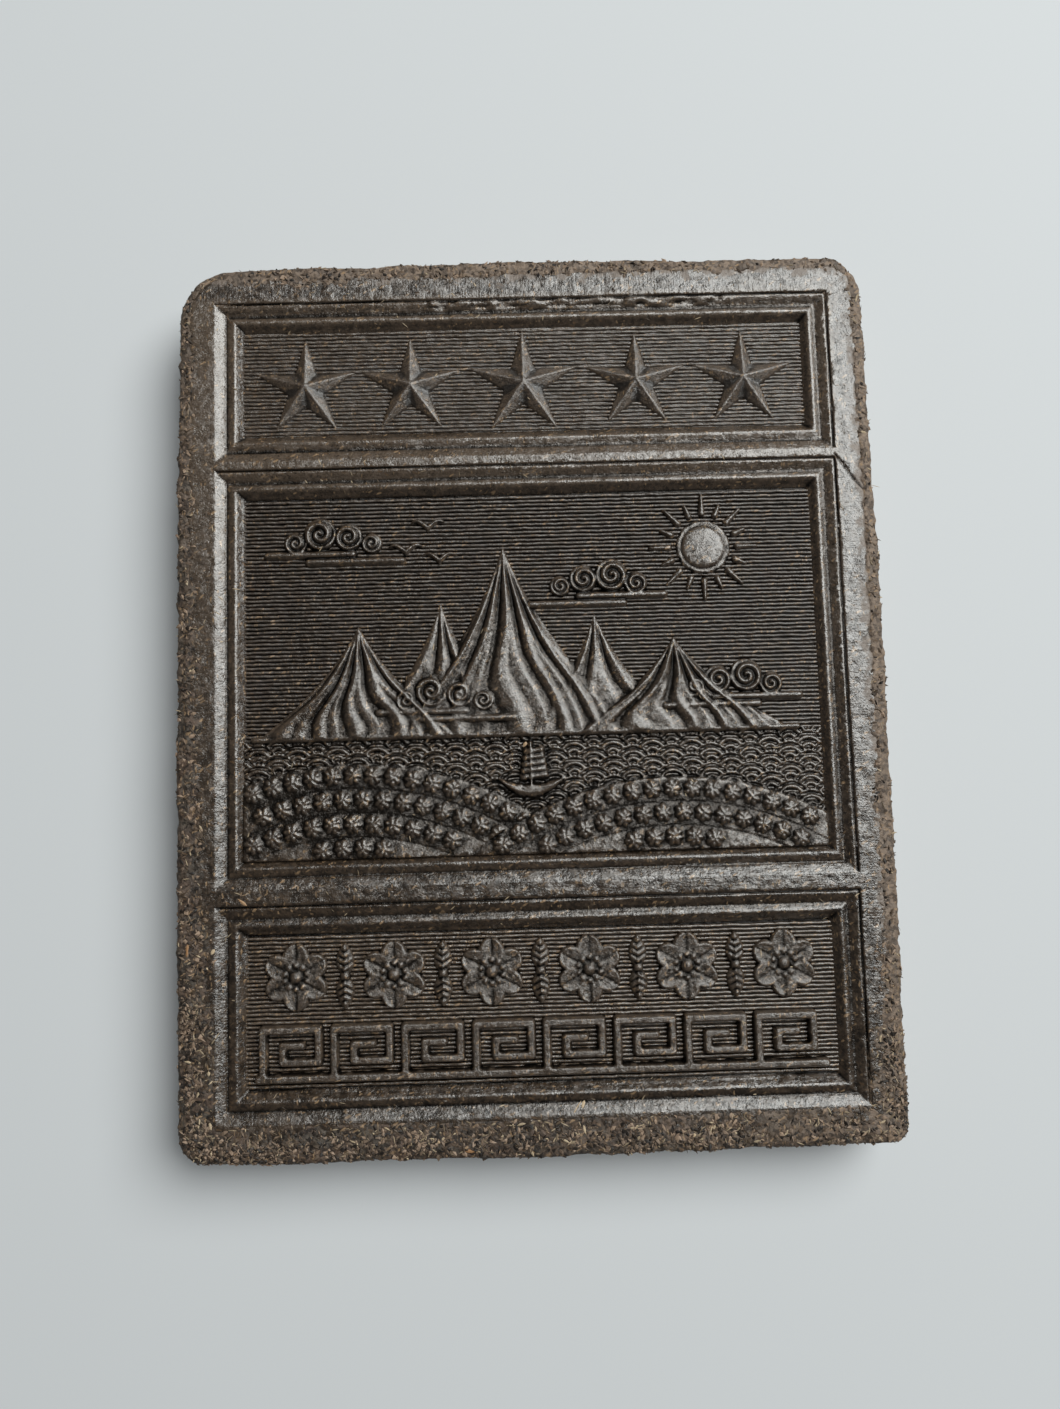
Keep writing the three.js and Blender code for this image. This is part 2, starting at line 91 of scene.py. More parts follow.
# Section of the moulding round each panel: distance in from the panel's edge, and depth below the rim.
# It falls to a valley, as a plain bevel at the bottom and left, and from a groove and a lip at the top
# and right.
PLAIN_BEVEL = ((0.1, 0.0), (0.2, 0.0), (0.5, 0.1), (2.75, 1.12), (2.95, 1.42), (3.1, 1.45))
GROOVE = ((0.0, 0.0), (0.1, 0.0), (0.35, 0.75), (0.6, 0.75))
GROOVE_AND_LIP = GROOVE + ((0.85, 0.2), (1.4, 0.45), (3.35, 1.42), (3.8, 1.45))
BEAD = ((4.75, 0.9), (5.1, 0.8), (5.6, 0.82), (5.85, 1.0))
MOULDING = BEAD + ((7.4, 2.48), (7.8, 2.6))
FRAME_WIDTH, GROUND_DEPTH = MOULDING[-1]
GROUND = THICKNESS - GROUND_DEPTH
WELL_DROP = 0.8
PANEL_HALF_WIDTH = WIDTH / 2 - RIM_SIDE
FACE_TOP = HEIGHT / 2 - RIM_END
PICTURE_TOP = FACE_TOP - STAR_PANEL_HEIGHT - BAR_UPPER
PICTURE_PANEL_HEIGHT = 2 * FACE_TOP - STAR_PANEL_HEIGHT - BAR_UPPER - BAR_LOWER - ORNAMENT_PANEL_HEIGHT
# Each panel's middle and half height
STAR_PANEL = (FACE_TOP - STAR_PANEL_HEIGHT / 2, STAR_PANEL_HEIGHT / 2)
PICTURE_PANEL = (PICTURE_TOP - PICTURE_PANEL_HEIGHT / 2, PICTURE_PANEL_HEIGHT / 2)
ORNAMENT_PANEL = (-FACE_TOP + ORNAMENT_PANEL_HEIGHT / 2, ORNAMENT_PANEL_HEIGHT / 2)
PANELS = (STAR_PANEL, PICTURE_PANEL, ORNAMENT_PANEL)
# The crack in the right-hand rim, and the stretch of the topmost bevel whose face has flaked
CRACK_PATH = ((83.4, 62.6), (86.3, 58.5), (88.8, 54.7), (91.4, 52.0))
CRACK = {"width": 0.6, "end_width": 0.8, "ragged": 0.5, "depth": 0.5}
FLAKED = {"middle": 15.0, "reach": 40.0, "inset": (0.3, 2.6), "rise": 0.22}
# How far below its neighbours a place lies where the painted shade of a crease is darkest
CREASE_DEPTH = 0.3
# Bottoms of the slabs, and the reaches in cells of their creases with how dark the painted shade of each may
# be
FACE_BOTTOM, RELIEF_BOTTOM = GROUND - 2.0, GROUND - 1.0
FACE_CREASES, RELIEF_CREASES = ((2, 1.0),), ((3, 1.0), (8, 0.8))

# Resolution of the meshes
FACE_STEP = 0.45
RELIEF_STEP = 0.25
RELIEF_LAP = 0.5
MOST_TRIANGLES = 190_000

# Ribs of the panel grounds
RIB_PITCH = 1.07
RIB_RADIUS = 0.42
RIB_RISE = 0.27
RIB_SEGMENT = 1.05
RIB_LAP = 0.3
RIB_SIDES = 6
RIB_WOBBLE = (0.0, 0.55, 0.85)
RIB_GROOVE = 0.55
STAR_RIB_GROOVE = 0.3
# Heights between which painted shade darkens the gaps of the ribs
RIB_GAPS = (GROUND + 0.06, GROUND - 0.28)

# Relief, measured from the middle of its panel; heights are above the panel's ground
OUTSIDE = -9.0
STAR_PLACES = (-59.4, -30.9, -0.2, 30.6, 59.8)
STARS = {"level": -1.5, "radius": 14.2, "middle_radius": 15.5, "waist": 0.36, "edge": 0.4, "rise": 2.6}
SHORE_LEVEL = -17.0
SHORE_ENDS = (-74.0, 70.0)
# Each mountain's apex, feet, pleats, edge height and crest height
MOUNTAINS = (
    ((-24.0, 19.0), (-46.0, -2.0), 3, 0.3, 1.3),
    ((17.0, 15.0), (-4.0, 40.0), 3, 0.3, 1.3),
    ((-7.0, 34.0), (-38.0, 27.0), 5, 0.4, 1.9),
    ((-46.0, 13.0), (-73.0, -19.0), 5, 0.6, 2.2),
    ((38.0, 8.0), (11.0, 68.0), 5, 0.6, 2.2),
)
# Each hill's centre, crown radius and first step
HILLS = (((-48.0, -110.0), 86.0, 0.8), ((36.0, -114.0), 84.5, 1.1))
TERRACE = {"rows": 5, "spacing": 6.3, "rise": 0.18}
BUSH = {"radius": 2.6, "spacing": 5.3, "height": 1.15, "inset": 3.0}
WAVE_REACH = 5.2
SUN = {"centre": (47.0, 32.0), "radius": 7.5, "rise": 1.5}
SUN_RAYS = {"count": 16, "start": 9.2, "ends": (14.4, 12.2), "end_width": 0.9}
# Each cloud's place, and 1 or -1 for the way that it trails
CLOUDS = ((-53.0, 36.0, 1), (19.0, 23.0, -1), (-24.0, -7.0, 1), (54.0, -5.0, -1))
CLOUD_PUFFS = ((-9.5, -0.4, 3.4), (-3.0, 1.9, 4.7), (4.6, 1.0, 4.0), (10.8, -0.8, 3.0))
CLOUD_STREAKS = ((-17.0, 6.0, -3.6), (-6.0, 19.0, -5.6))
BIRDS = ((-27.0, 39.0), (-33.0, 32.5), (-24.0, 30.0))
BIRD = {"span": 4.8, "lift": 2.0, "half_width": 1.05, "rise": 1.4, "reach": 5.0}
BOAT = {"middle": (-1.0, -30.5), "length": 17.0, "mast": 11.0, "sail": (7.6, 8.4)}
BLOSSOM = {"count": 6, "spacing": 25.3, "level": 8.8, "radius": 8.6, "petals": 6, "stamens": 10}
LEAF = {"length": 8.6, "width": 5.0, "rise": 1.6}
BUD = {"radius": 1.5, "rise": 1.8}
FRET = {"count": 8, "pitch": 18.2, "low": -16.6, "height": 12.2, "stroke": 2.6, "rise": 2.3}
FRET_PATH = ((0.06, 0.0), (0.06, 1.0), (0.84, 1.0), (0.84, 0.34), (0.34, 0.34), (0.34, 0.68), (0.6, 0.68))
# Widths and rises of the strokes
SHORE_STROKE = (1.9, 1.3)
RAY_STROKE = (2.1, 1.3)
STREAK_STROKE = (2.3, 1.6)
MAST_STROKE = (1.1, 1.9)

# Larger flakes that stand out one by one: both ends, width, and a tone from 0, orange, to 1, pale
SEEN_FLAKES = (
    ((-90.6, -62.7), (-90.8, -66.7), 0.95, 0.1),
    ((-77.7, -51.7), (-75.4, -53.5), 0.85, 0.35),
    ((9.4, -105.4), (7.1, -108.6), 0.35, 0.8),
    ((10.2, -105.3), (9.6, -107.1), 0.75, 0.9),
    ((36.5, -115.1), (38.6, -114.1), 1.7, 0.75),
    ((35.4, -114.2), (36.8, -115.8), 0.9, 0.2),
    ((-3.5, -10.2), (-2.0, -10.5), 0.9, 0.25),
    ((-2.4, -12.6), (-2.1, -16.5), 1.1, 0.5),
    ((-83.7, -64.3), (-84.6, -65.7), 0.8, 1.0),
    ((-85.4, -68.9), (-86.3, -69.8), 0.8, 1.0),
    ((-28.3, -113.4), (-26.5, -114.4), 1.1, 0.6),
    ((-20.4, -116.6), (-17.5, -116.4), 0.8, 0.15),
)
# Shapes of flakes 1 mm long: width, thickness, stations along the flake, sway and seed
CRUMB_SHAPE = (0.7, 0.5, 3, 0.12, 5)
FIBRE_SHAPE = (0.24, 0.16, 4, 0.06, 6)
FLAKE_SHAPE = (0.46, 0.2, 4, 0.1, 7)
# The larger flakes' thickness as a share of their width, their stations, sway and first seed
SEEN_SHAPE = {"thickness": 0.35, "stations": 5, "sway": 0.05, "seed": 90}
# Strewn flakes: the share of their border where they lie thickest, the places up the face and across it
# between which they grow denser and sparser, and a border that leaves none out
DENSE_BORDER = 0.35
FOOT_STRETCH = (-40, -108)
RIGHT_STRETCH = (0, 60)
ANYWHERE = 1000.0
# A stray hair at the right-hand edge: both ends, width and tone
HAIR = (((93.0, 54.2, 18.4), (95.6, 53.1, 19.2)), 0.12, 0.6)

# Colours
DARK_LEAF = (0.021, 0.0145, 0.0098, 1.0)
BROWN_LEAF = (0.074, 0.049, 0.031, 1.0)
WORN_DARK = (0.014, 0.0095, 0.0067, 1.0)
WORN_RED = (0.112, 0.069, 0.045, 1.0)
WORN_GREY = (0.086, 0.066, 0.048, 1.0)
CRUMBLED_BROWN = (0.075, 0.052, 0.037, 1.0)
CRUMBLED_TAN = (0.265, 0.192, 0.139, 1.0)
RUBBED_TAN = (0.21, 0.153, 0.114, 1.0)
CRUMB_TAN = (0.38, 0.268, 0.19, 1.0)
SODDEN_STALK = (0.075, 0.048, 0.028, 1.0)
STALK_BROWN = (0.13, 0.078, 0.042, 1.0)
STALK_ORANGE = (0.36, 0.185, 0.08, 1.0)
STALK_TAN = (0.33, 0.215, 0.12, 1.0)
STALK_PALE = (0.60, 0.47, 0.31, 1.0)
# Painted shade in creases, rib gaps and pits
CREASE_SHADE = (0.006, 0.0043, 0.0031, 1.0)
PANEL_DUST = (0.15, 0.108, 0.076, 1.0)
FLOOR_PAINT = (0.72, 0.74, 0.76, 1.0)
# How many to the metre: bends of the ribs, clumps of strewn flakes, mottles and patches of the leaf, patches
# of the worn edge, streaks of the rim, bends of the slivers, and fibres of a flake
RIB_BENDS, CLUMPS, MOTTLES, PATCHES = 520.0, 90.0, 330.0, 55.0
WORN_PATCHES, STREAKS, FLECK_BENDS, FIBRES = 210.0, 1300.0, 700.0, 2600.0
# How far a sliver bends, the depth of the leaf's grain, and the leaf's index of refraction
FLECK_SWAY, GRAIN_DEPTH, LEAF_IOR = 0.9, 0.3, 1.6
# Slivers of stalk in the leaf: colour, bearing in radians and how many to the metre
STALK_FLECKS = ((STALK_BROWN, 0.4, 1500.0), (STALK_TAN, 1.5, 1800.0), (STALK_TAN, 2.6, 1400.0))
# The rubbed border of the pressed rim at the top and right: how far in it is dull, how far in it ends,
# how ragged it is, how dull, and how much rougher
RUBBED = {"dull": 2.4, "ends": 5.4, "ragged": 14.0, "share": 0.75, "rougher": 0.45}
# Dust in the mouldings and on the left rim: the heights up the face, in metres, between which its share
# grows, its largest share, how far in it begins at the top and right, and the depths between which it thins,
# so that the deep parts of the mouldings are darker: painted shade
RIM_DUST_AND_SHADE = {"from_to": (-0.06, 0.10), "share": 0.75, "inward": 8.0, "depths": (1.7, 0.9)}

# Stage, with the window's size in metres
FLOOR_REACH, FLOOR_LEVEL = 3000, -0.02
WINDOW = {"place": (1104, 912, 1920), "size": 2.1, "watts": 68.0, "colour": (0.975, 1.0, 0.98)}
ROOM = {"Color": (0.82, 0.86, 0.9, 1.0), "Strength": 0.055}

# Camera: the image it frames, its focal length in pixels, and its place and bearing over the face
IMAGE_WIDTH, IMAGE_HEIGHT = 1060, 1409
FOCAL_PIXELS = 1060
SENSOR_MM = 36.0
CAMERA_PLACE = (-4.6, -29.4, THICKNESS + 278.1)
CAMERA_LOOK = (0.0135, 0.0933, -0.9955)
CAMERA_RIGHT = (0.9995, -0.0284, 0.0109)


# Noise and mesh helpers


def unit(value):
    """A value kept from 0 to 1."""
    return np.clip(value, 0, 1)


def bumps(points, cell, seed):
    """Smooth noise from -1 to 1 at points, with bumps about one cell apart."""
    side = 64
    table = np.random.default_rng(seed).uniform(-1, 1, (side, side, side))
    scaled = np.asarray(points) / cell
    base = np.floor(scaled).astype(int)
    share = scaled - base
    share = share * share * (3 - 2 * share)
    total = np.zeros(scaled.shape[:-1])
    for step in np.ndindex(2, 2, 2):
        weight = np.prod(np.where(step, share, 1 - share), axis=-1)
        index = (base + step) % side
        total += weight * table[index[..., 0], index[..., 1], index[..., 2]]
    return total


def layered(points, *layers):
    """Layers of bumps added up, each with its rise, cell and seed."""
    return sum(rise * bumps(points, cell, seed) for rise, cell, seed in layers)


def new_object(name, data):
    made = bpy.data.objects.new(name, data)
    bpy.context.scene.collection.objects.link(made)
    return made


def mesh_object(name, points, quads, triangles=()):
    """A smooth-shaded object from points in millimetres and rows of corner numbers."""
    loops = np.concatenate([np.ravel(quads), np.ravel(triangles)]).astype(np.int32)
    sizes = np.concatenate([np.full(len(quads), 4), np.full(len(triangles), 3)])
    starts = np.concatenate([[0], np.cumsum(sizes)[:-1]]).astype(np.int32)
    mesh = bpy.data.meshes.new(name)
    mesh.vertices.add(len(points))
    mesh.vertices.foreach_set("co", np.ravel(np.asarray(points) * MM))
    mesh.loops.add(len(loops))
    mesh.loops.foreach_set("vertex_index", loops)
    mesh.polygons.add(len(sizes))
    mesh.polygons.foreach_set("loop_start", starts)
    mesh.update(calc_edges=True)
    mesh.validate()
    mesh.shade_smooth()
    return new_object(name, mesh)


def set_values(piece, name, values):
    """Gives each point of a piece a value that its material reads."""
    piece.data.attributes.new(name, "FLOAT", "POINT").data.foreach_set("value", values)


def creases(height, reach):
    """How far each cell of a grid lies below its neighbours at a reach: 0 level, 1 in a deep crease."""
    padded = np.pad(height, reach, mode="edge")
    rows, columns = height.shape
    within_columns = slice(reach, reach + columns)
    within_rows = slice(reach, reach + rows)
    below_above = (padded[:rows, within_columns] + padded[2 * reach :, within_columns]) / 2
    left_right = (padded[within_rows, :columns] + padded[within_rows, 2 * reach :]) / 2
    return unit((np.maximum(below_above, left_right) - height) / CREASE_DEPTH)


def closed_slab(name, x, y, z, bottom, crease_reaches):
    """A grid of heights as a closed slab with walls down to a flat bottom, and painted shade in its creases
    as an attribute.

    crease_reaches are pairs of a reach in cells and how dark the painted shade of a crease of that reach may
    be.
    """
    corner = np.arange(z.size).reshape(z.shape)
    rim = np.concatenate([corner[0, :-1], corner[:-1, -1], corner[-1, :0:-1], corner[:0:-1, 0]])
    top = np.stack([x, y, z], axis=-1).reshape(-1, 3)
    low = top[rim]
    low[:, 2] = bottom
    below = z.size + np.arange(len(rim))
    middle = np.full(len(rim), z.size + len(rim))
    cells = [corner[:-1, :-1], corner[:-1, 1:], corner[1:, 1:], corner[1:, :-1]]
    quads = np.stack(cells, axis=-1).reshape(-1, 4)
    walls = np.stack([below, np.roll(below, -1), np.roll(rim, -1), rim], axis=-1)
    base = np.stack([np.roll(below, -1), below, middle], axis=-1)
    points = np.vstack([top, low, low.mean(axis=0)])
    piece = mesh_object(name, points, np.vstack([quads, walls]), base)
    # Painted shade, darkest in the deepest creases
    painted_shade = np.max([darkest * creases(z, reach) for reach, darkest in crease_reaches], axis=0)
    set_values(piece, "crease", np.pad(painted_shade.ravel(), (0, len(points) - z.size)))
    return piece


def settled(piece):
    """The piece with its modifiers made part of a plain mesh."""
    graph = bpy.context.evaluated_depsgraph_get()
    mesh = bpy.data.meshes.new_from_object(piece.evaluated_get(graph))
    piece.modifiers.clear()
    piece.data = mesh
    mesh.name = piece.name
    return piece


def thinned(piece):
    """The piece with flat places merged until it has few enough triangles."""
    have = sum(len(face.vertices) - 2 for face in piece.data.polygons)
    if have > MOST_TRIANGLES:
        piece.modifiers.new("thinning", "DECIMATE").ratio = MOST_TRIANGLES / have
        settled(piece)
        piece.data.shade_smooth()
    return piece


# Outline


def half_sizes(inset):
    """Half the width and height of the outline, before its sides swell."""
    return WIDTH / 2 - BULGE - inset, HEIGHT / 2 - BULGE - inset


def rounded(x, y, inset):
    """Points of a rectangle inset from the outline, moved to give it round corners and swollen sides."""
    half_x, half_y = half_sizes(inset)
    new_x, new_y = np.array(x, float), np.array(y, float)
    for (sign_x, sign_y), full_radius in CORNER_RADIUS.items():
        radius = max(full_radius - inset, 1.0)
        u = (sign_x * x - half_x + radius) / radius
        v = (sign_y * y - half_y + radius) / radius
        corner = (u > 0) & (v > 0)
        arc_u = u * np.sqrt(unit(1 - v * v / 2))
        arc_v = v * np.sqrt(unit(1 - u * u / 2))
        new_x = np.where(corner, sign_x * (half_x - radius + radius * arc_u), new_x)
        new_y = np.where(corner, sign_y * (half_y - radius + radius * arc_v), new_y)
    swell_x = 1 + BULGE / half_x * (1 - np.clip(new_y / half_y, -1, 1) ** 2)
    swell_y = 1 + BULGE / half_y * (1 - np.clip(new_x / half_x, -1, 1) ** 2)
    return new_x * swell_x, new_y * swell_y


def outline_ring(inset):
    """Points round the outline, drawn in by an inset, anticlockwise from the bottom left corner."""
    half_x, half_y = half_sizes(inset)
    across = np.linspace(-1, 1, round(WIDTH / OUTLINE_STEP), endpoint=False)
    up = np.linspace(-1, 1, round(HEIGHT / OUTLINE_STEP), endpoint=False)
    x = np.concatenate([across, np.ones_like(up), -across, -np.ones_like(up)]) * half_x
    y = np.concatenate([-np.ones_like(across), up, np.ones_like(across), -up]) * half_y
    return np.stack(rounded(x, y, inset), axis=-1)


# Relief maps and the shapes that they are raised to


class ReliefMap:
    """Heights over a panel's ground on an even grid, raised by one shape after another."""

    def __init__(self, half_width, half_height):
        self.half_width, self.half_height = half_width, half_height
        self.across = np.linspace(-half_width, half_width, round(2 * half_width / RELIEF_STEP) + 1)
        self.up = np.linspace(-half_height, half_height, round(2 * half_height / RELIEF_STEP) + 1)
        self.height = np.zeros((len(self.up), len(self.across)))

    def raise_to(self, shape, low, high, *form):
        """Raises the grid between two corners to a shape where the shape is higher."""
        rows = slice(*np.searchsorted(self.up, (low[1], high[1])))
        columns = slice(*np.searchsorted(self.across, (low[0], high[0])))
        across, up = np.meshgrid(self.across[columns], self.up[rows])
        if across.size:
            self.height[rows, columns] = np.maximum(self.height[rows, columns], shape(across, up, *form))

    def cover_with(self, shape, *form):
        """Replaces the grid by a nearer shape wherever the shape is."""
        rise = shape(*np.meshgrid(self.across, self.up), *form)
        self.height = np.where(rise > 0, rise, self.height)

    def stamp(self, shape, centre, reach, *form):
        """Raises the grid round a centre to a shape that is given from its own middle."""
        self.raise_to(
            lambda across, up: shape(across - centre[0], up - centre[1], *form),
            (centre[0] - reach, centre[1] - reach),
            (centre[0] + reach, centre[1] + reach),
        )

    def stroke(self, points, width, rise, profile, end_width=None):
        """Raises a stroke along points, whose width may taper to its end."""
        points = np.asarray(points, float)
        self.raise_to(
            lambda across, up: profile(stroke_share(across, up, points, width, end_width or width), rise),
            points.min(axis=0) - width,
            points.max(axis=0) + width,
        )

    def smooth(self):
        """Softens the grid's edges, as pressing does."""
        padded = np.pad(self.height, 1, mode="edge")
        rows = (padded[:-2] + 2 * padded[1:-1] + padded[2:]) / 4
        self.height = (rows[:, :-2] + 2 * rows[:, 1:-1] + rows[:, 2:]) / 4


def round_top(share, rise):
    """Height of a round ridge or dome at a share of its half width."""
    return np.where(share < 1, rise * np.sqrt(unit(1 - share**2)), OUTSIDE)


def flat_top(share, rise):
    """Height of a bevelled bar at a share of its half width."""
    bevel = 0.35
    return np.where(share < 1, rise * unit((1 - share) / bevel) ** 0.7, OUTSIDE)


def zigzag(value, power):
    """A wave that is 1 on whole numbers and 0 halfway between them."""
    return np.abs(2 * (value - np.floor(value)) - 1) ** power


def stroke_share(across, up, points, width, end_width):
    """Distance to a line through points as a share of the stroke's half width."""
    shares = []
    for (x0, y0), (x1, y1) in zip(points, points[1:]):
        run_x, run_y = x1 - x0, y1 - y0
        along = unit(((across - x0) * run_x + (up - y0) * run_y) / (run_x**2 + run_y**2))
        distance = np.hypot(across - x0 - along * run_x, up - y0 - along * run_y)
        shares.append(2 * distance / (width + (end_width - width) * along))
    return np.min(shares, axis=0)


def star(across, up, radius):
    """A five-pointed star whose facets rise to its middle."""
    turns = [math.pi / 2 + i * math.pi / 5 for i in range(10)]
    reaches = [radius * (STARS["waist"] if i % 2 else 1) for i in range(10)]
    tips = [(reach * math.cos(turn), reach * math.sin(turn)) for reach, turn in zip(reaches, turns)]
    rise = np.full(across.shape, OUTSIDE)
    for (ax, ay), (bx, by) in zip(tips, tips[1:] + tips[:1]):
        area = ax * by - ay * bx
        a = (across * by - up * bx) / area
        b = (up * ax - across * ay) / area
        inside = (a >= 0) & (b >= 0) & (a + b <= 1)
        rise = np.where(inside, STARS["edge"] + STARS["rise"] * (1 - a - b), rise)
    return rise


def mountain(across, up, apex, feet, pleats, edge, crest):
    """A mountain whose pleats fall from its apex, fork halfway down and sway towards its foot."""
    shoulder_width = 2.2
    fall = unit((apex[1] - up) / (apex[1] - SHORE_LEVEL))
    spread = 0.55 * fall + 0.45 * fall**2
    left = apex[0] + (feet[0] - apex[0]) * spread
    span = np.maximum((feet[1] - feet[0]) * spread, 1e-6)
    share = (across - left) / span
    uneven = share + 0.04 * np.sin(8 * share + apex[0])
    sway = 0.03 * np.sin(9 * fall + 5 * share) * fall
    coarse = zigzag((uneven + sway) * pleats + 0.5, 0.8)
    fine = zigzag((uneven + 1.6 * sway) * 2 * pleats + 0.25, 0.9)
    fork = 0.45 * unit((fall - 0.35) / 0.3)
    shoulder = unit(np.minimum(share, 1 - share) * span / shoulder_width)
    pleat = (coarse * (1 - fork) + fine * fork) * shoulder * (1 - 0.2 * fall)
    inside = (share > 0) & (share < 1) & (up >= SHORE_LEVEL) & (up <= apex[1])
    return np.where(inside, edge + (crest - edge) * pleat, OUTSIDE)


def wave(across, up):
    """Overlapping scallops of water below the shore."""
    rise = np.full(across.shape, OUTSIDE)
    gap = WAVE_REACH / 2
    lowest, highest = math.floor(up.min() / gap) - 2, math.ceil(up.max() / gap)
    for row in range(highest, lowest, -1):
        offset = (across + WAVE_REACH * (row % 2)) % (2 * WAVE_REACH) - WAVE_REACH
        share = np.hypot(offset, up - row * gap) / WAVE_REACH
        ripple = np.cos(3 * np.pi * (1 - share)) ** 2
        rise = np.where(share < 1, 0.25 + 0.55 * ripple, rise)
    return np.where(up < SHORE_LEVEL, rise, OUTSIDE)


def hill(across, up, centre, radius, step):
    """A round hill cut into terraces that step up towards the viewer."""
    bank_width, slope = 0.5, 0.04
    depth = radius - np.hypot(across - centre[0], up - centre[1])
    row = np.clip(np.floor(depth / TERRACE["spacing"]), 0, TERRACE["rows"] - 1)
    into = depth - row * TERRACE["spacing"]
    bank = unit(into / bank_width) - 1
    return np.where(depth > 0, step + TERRACE["rise"] * (row + bank) + slope * into, OUTSIDE)


def bush(across, up, level, turn):
    """A clipped tea bush: a dome of leaf lobes standing on a terrace."""
    angle = np.arctan2(up, across) + turn
    outer = 0.5 + 0.5 * np.cos(7 * angle)
    inner = 0.5 + 0.5 * np.cos(4 * angle + 1.3)
    share = np.hypot(across, up) / (BUSH["radius"] * (0.86 + 0.14 * outer))
    dome = np.sqrt(unit(1 - share**2))
    lobe = np.where(share > 0.48, outer, inner)
    return np.where(share < 1, level + BUSH["height"] * dome * (0.62 + 0.38 * lobe), OUTSIDE)


def puff(across, up, radius, hand):
    """A puff of cloud curled into a spiral."""
    rise = 1.75
    distance = np.hypot(across, up)
    turns = distance / (0.46 * radius) - np.arctan2(up, hand * across) / (2 * np.pi)
    body = unit((1 - distance / radius) / 0.22) ** 0.6
    curl = 0.5 + 0.5 * np.cos(np.pi * turns) ** 2
    return np.where(distance < radius, rise * body * curl, OUTSIDE)


def sun(across, up):
    """A shallow dome inside a ring."""
    share = np.hypot(across, up) / SUN["radius"]
    dome = np.maximum(SUN["rise"] * np.sqrt(unit(1.05 - share**2)), 0.5)
    groove = 0.35 * np.exp(-(((share - 0.8) / 0.06) ** 2))
    return np.where(share < 1, dome - groove, OUTSIDE)


def bird(across, up):
    """Two wings that rise from a bird's middle and taper to their tips."""
    out = np.abs(across) / BIRD["span"]
    wing = BIRD["lift"] * np.sin(0.75 * np.pi * out)
    share = np.abs(up - wing) / np.maximum(BIRD["half_width"] * (1.12 - out), 1e-3)
    return np.where(out < 1, round_top(share, BIRD["rise"]), OUTSIDE)


def hull(across, up):
    """A boat's planked hull, from keel to sheer."""
    out = across / (BOAT["length"] / 2)
    sheer = 1.6 * out**2
    keel = sheer - 3.0 * (1 - out**2) - 0.2
    share = (up - keel) / np.maximum(sheer - keel, 1e-6)
    inside = (np.abs(out) < 1) & (share > 0) & (share < 1)
    return np.where(inside, 1.3 + 0.5 * np.sin(np.pi * share) + 0.25 * zigzag(3 * share, 0.7), OUTSIDE)


def sail(across, up):
    """A sail that bellies between its battens."""
    width, height = BOAT["sail"]
    foot, battens, side = 1.2, 5, 0.8
    share_up = (up - foot - 0.12 * across) / height
    share = np.abs(across - side) / np.maximum(width / 2 * (1 - 0.35 * share_up), 1e-6)
    inside = (share_up > 0) & (share_up < 1) & (share < 1)
    belly = np.abs(np.sin(np.pi * battens * share_up)) ** 0.6
    belly = belly * np.sqrt(unit(1 - 0.5 * share**2))
    return np.where(inside, 1.0 + 0.7 * belly, OUTSIDE)


def blossom(across, up):
    """An open blossom: cupped petals, a ring of stamens and a boss."""
    sector = 2 * np.pi / BLOSSOM["petals"]
    distance, angle = np.hypot(across, up), np.arctan2(across, up)
    local = (angle / sector + 0.5) % 1 * sector - sector / 2
    along = distance * np.cos(local) / BLOSSOM["radius"]
    side = distance * np.sin(local)
    half = 3.65 * np.sqrt(unit(1 - ((along - 0.55) / 0.46) ** 2))
    share = np.abs(side) / np.maximum(half, 1e-3)
    cup = 0.7 + 0.9 * share**2 * unit(along) - 0.2 * np.exp(-((side / 0.25) ** 2))
    body = unit((1 - share) / 0.25) ** 0.6
    petals = np.where((share < 1) & (along > 0.05), 0.4 + cup * body, OUTSIDE)
    stamen_ring, stamen_radius = 2.95, 0.62
    pitch = 2 * np.pi / BLOSSOM["stamens"]
    stamen_side = ((angle / pitch + 0.5) % 1 - 0.5) * pitch * stamen_ring
    stamens = 1.1 + round_top(np.hypot(distance - stamen_ring, stamen_side) / stamen_radius, 0.5)
    return np.maximum(np.maximum(petals, stamens), round_top(distance / 1.9, 2.0))


def leaf(across, up, way):
    """A pointed leaf up or down from a bud, with a midrib and side veins."""
    along = way * up / LEAF["length"]
    half = LEAF["width"] / 2 * np.sin(np.pi * unit(along) ** 0.8) ** 0.8
    share = np.abs(across) / np.maximum(half, 1e-3)
    veins = 0.16 * np.cos(2 * np.pi * (5 * along - 1.6 * np.abs(across) / LEAF["width"]))
    rib = 0.3 * np.exp(-((across / 0.28) ** 2))
    body = LEAF["rise"] * unit(1 - share**2) ** 0.4 * (0.85 + veins)
    inside = (share < 1) & (along > 0.02) & (along < 0.98)
    return np.where(inside, body + rib, OUTSIDE)


def bud(across, up):
    return round_top(np.hypot(across, up) / BUD["radius"], BUD["rise"])


# The three panels' reliefs


def star_relief(relief):
    middle = len(STAR_PLACES) // 2
    for number, across in enumerate(STAR_PLACES):
        radius = STARS["middle_radius"] if number == middle else STARS["radius"]
        relief.stamp(star, (across, STARS["level"]), radius, radius)


def tea_rows(relief, centre, radius, step):
    """Rows of bushes along a hill's terraces."""
    margin = 2.0
    for row in range(TERRACE["rows"]):
        reach = radius - BUSH["inset"] - row * TERRACE["spacing"]
        pitch = BUSH["spacing"] / reach
        most = int(math.pi / 2 / pitch)
        for i in range(-most, most + 1):
            angle = math.pi / 2 - (i + row % 2 / 2) * pitch
            place = (centre[0] + reach * math.cos(angle), centre[1] + reach * math.sin(angle))
            if abs(place[0]) < relief.half_width - margin and place[1] > margin - relief.half_height:
                relief.stamp(bush, place, BUSH["radius"], step + TERRACE["rise"] * row, 1.7 * i + row)


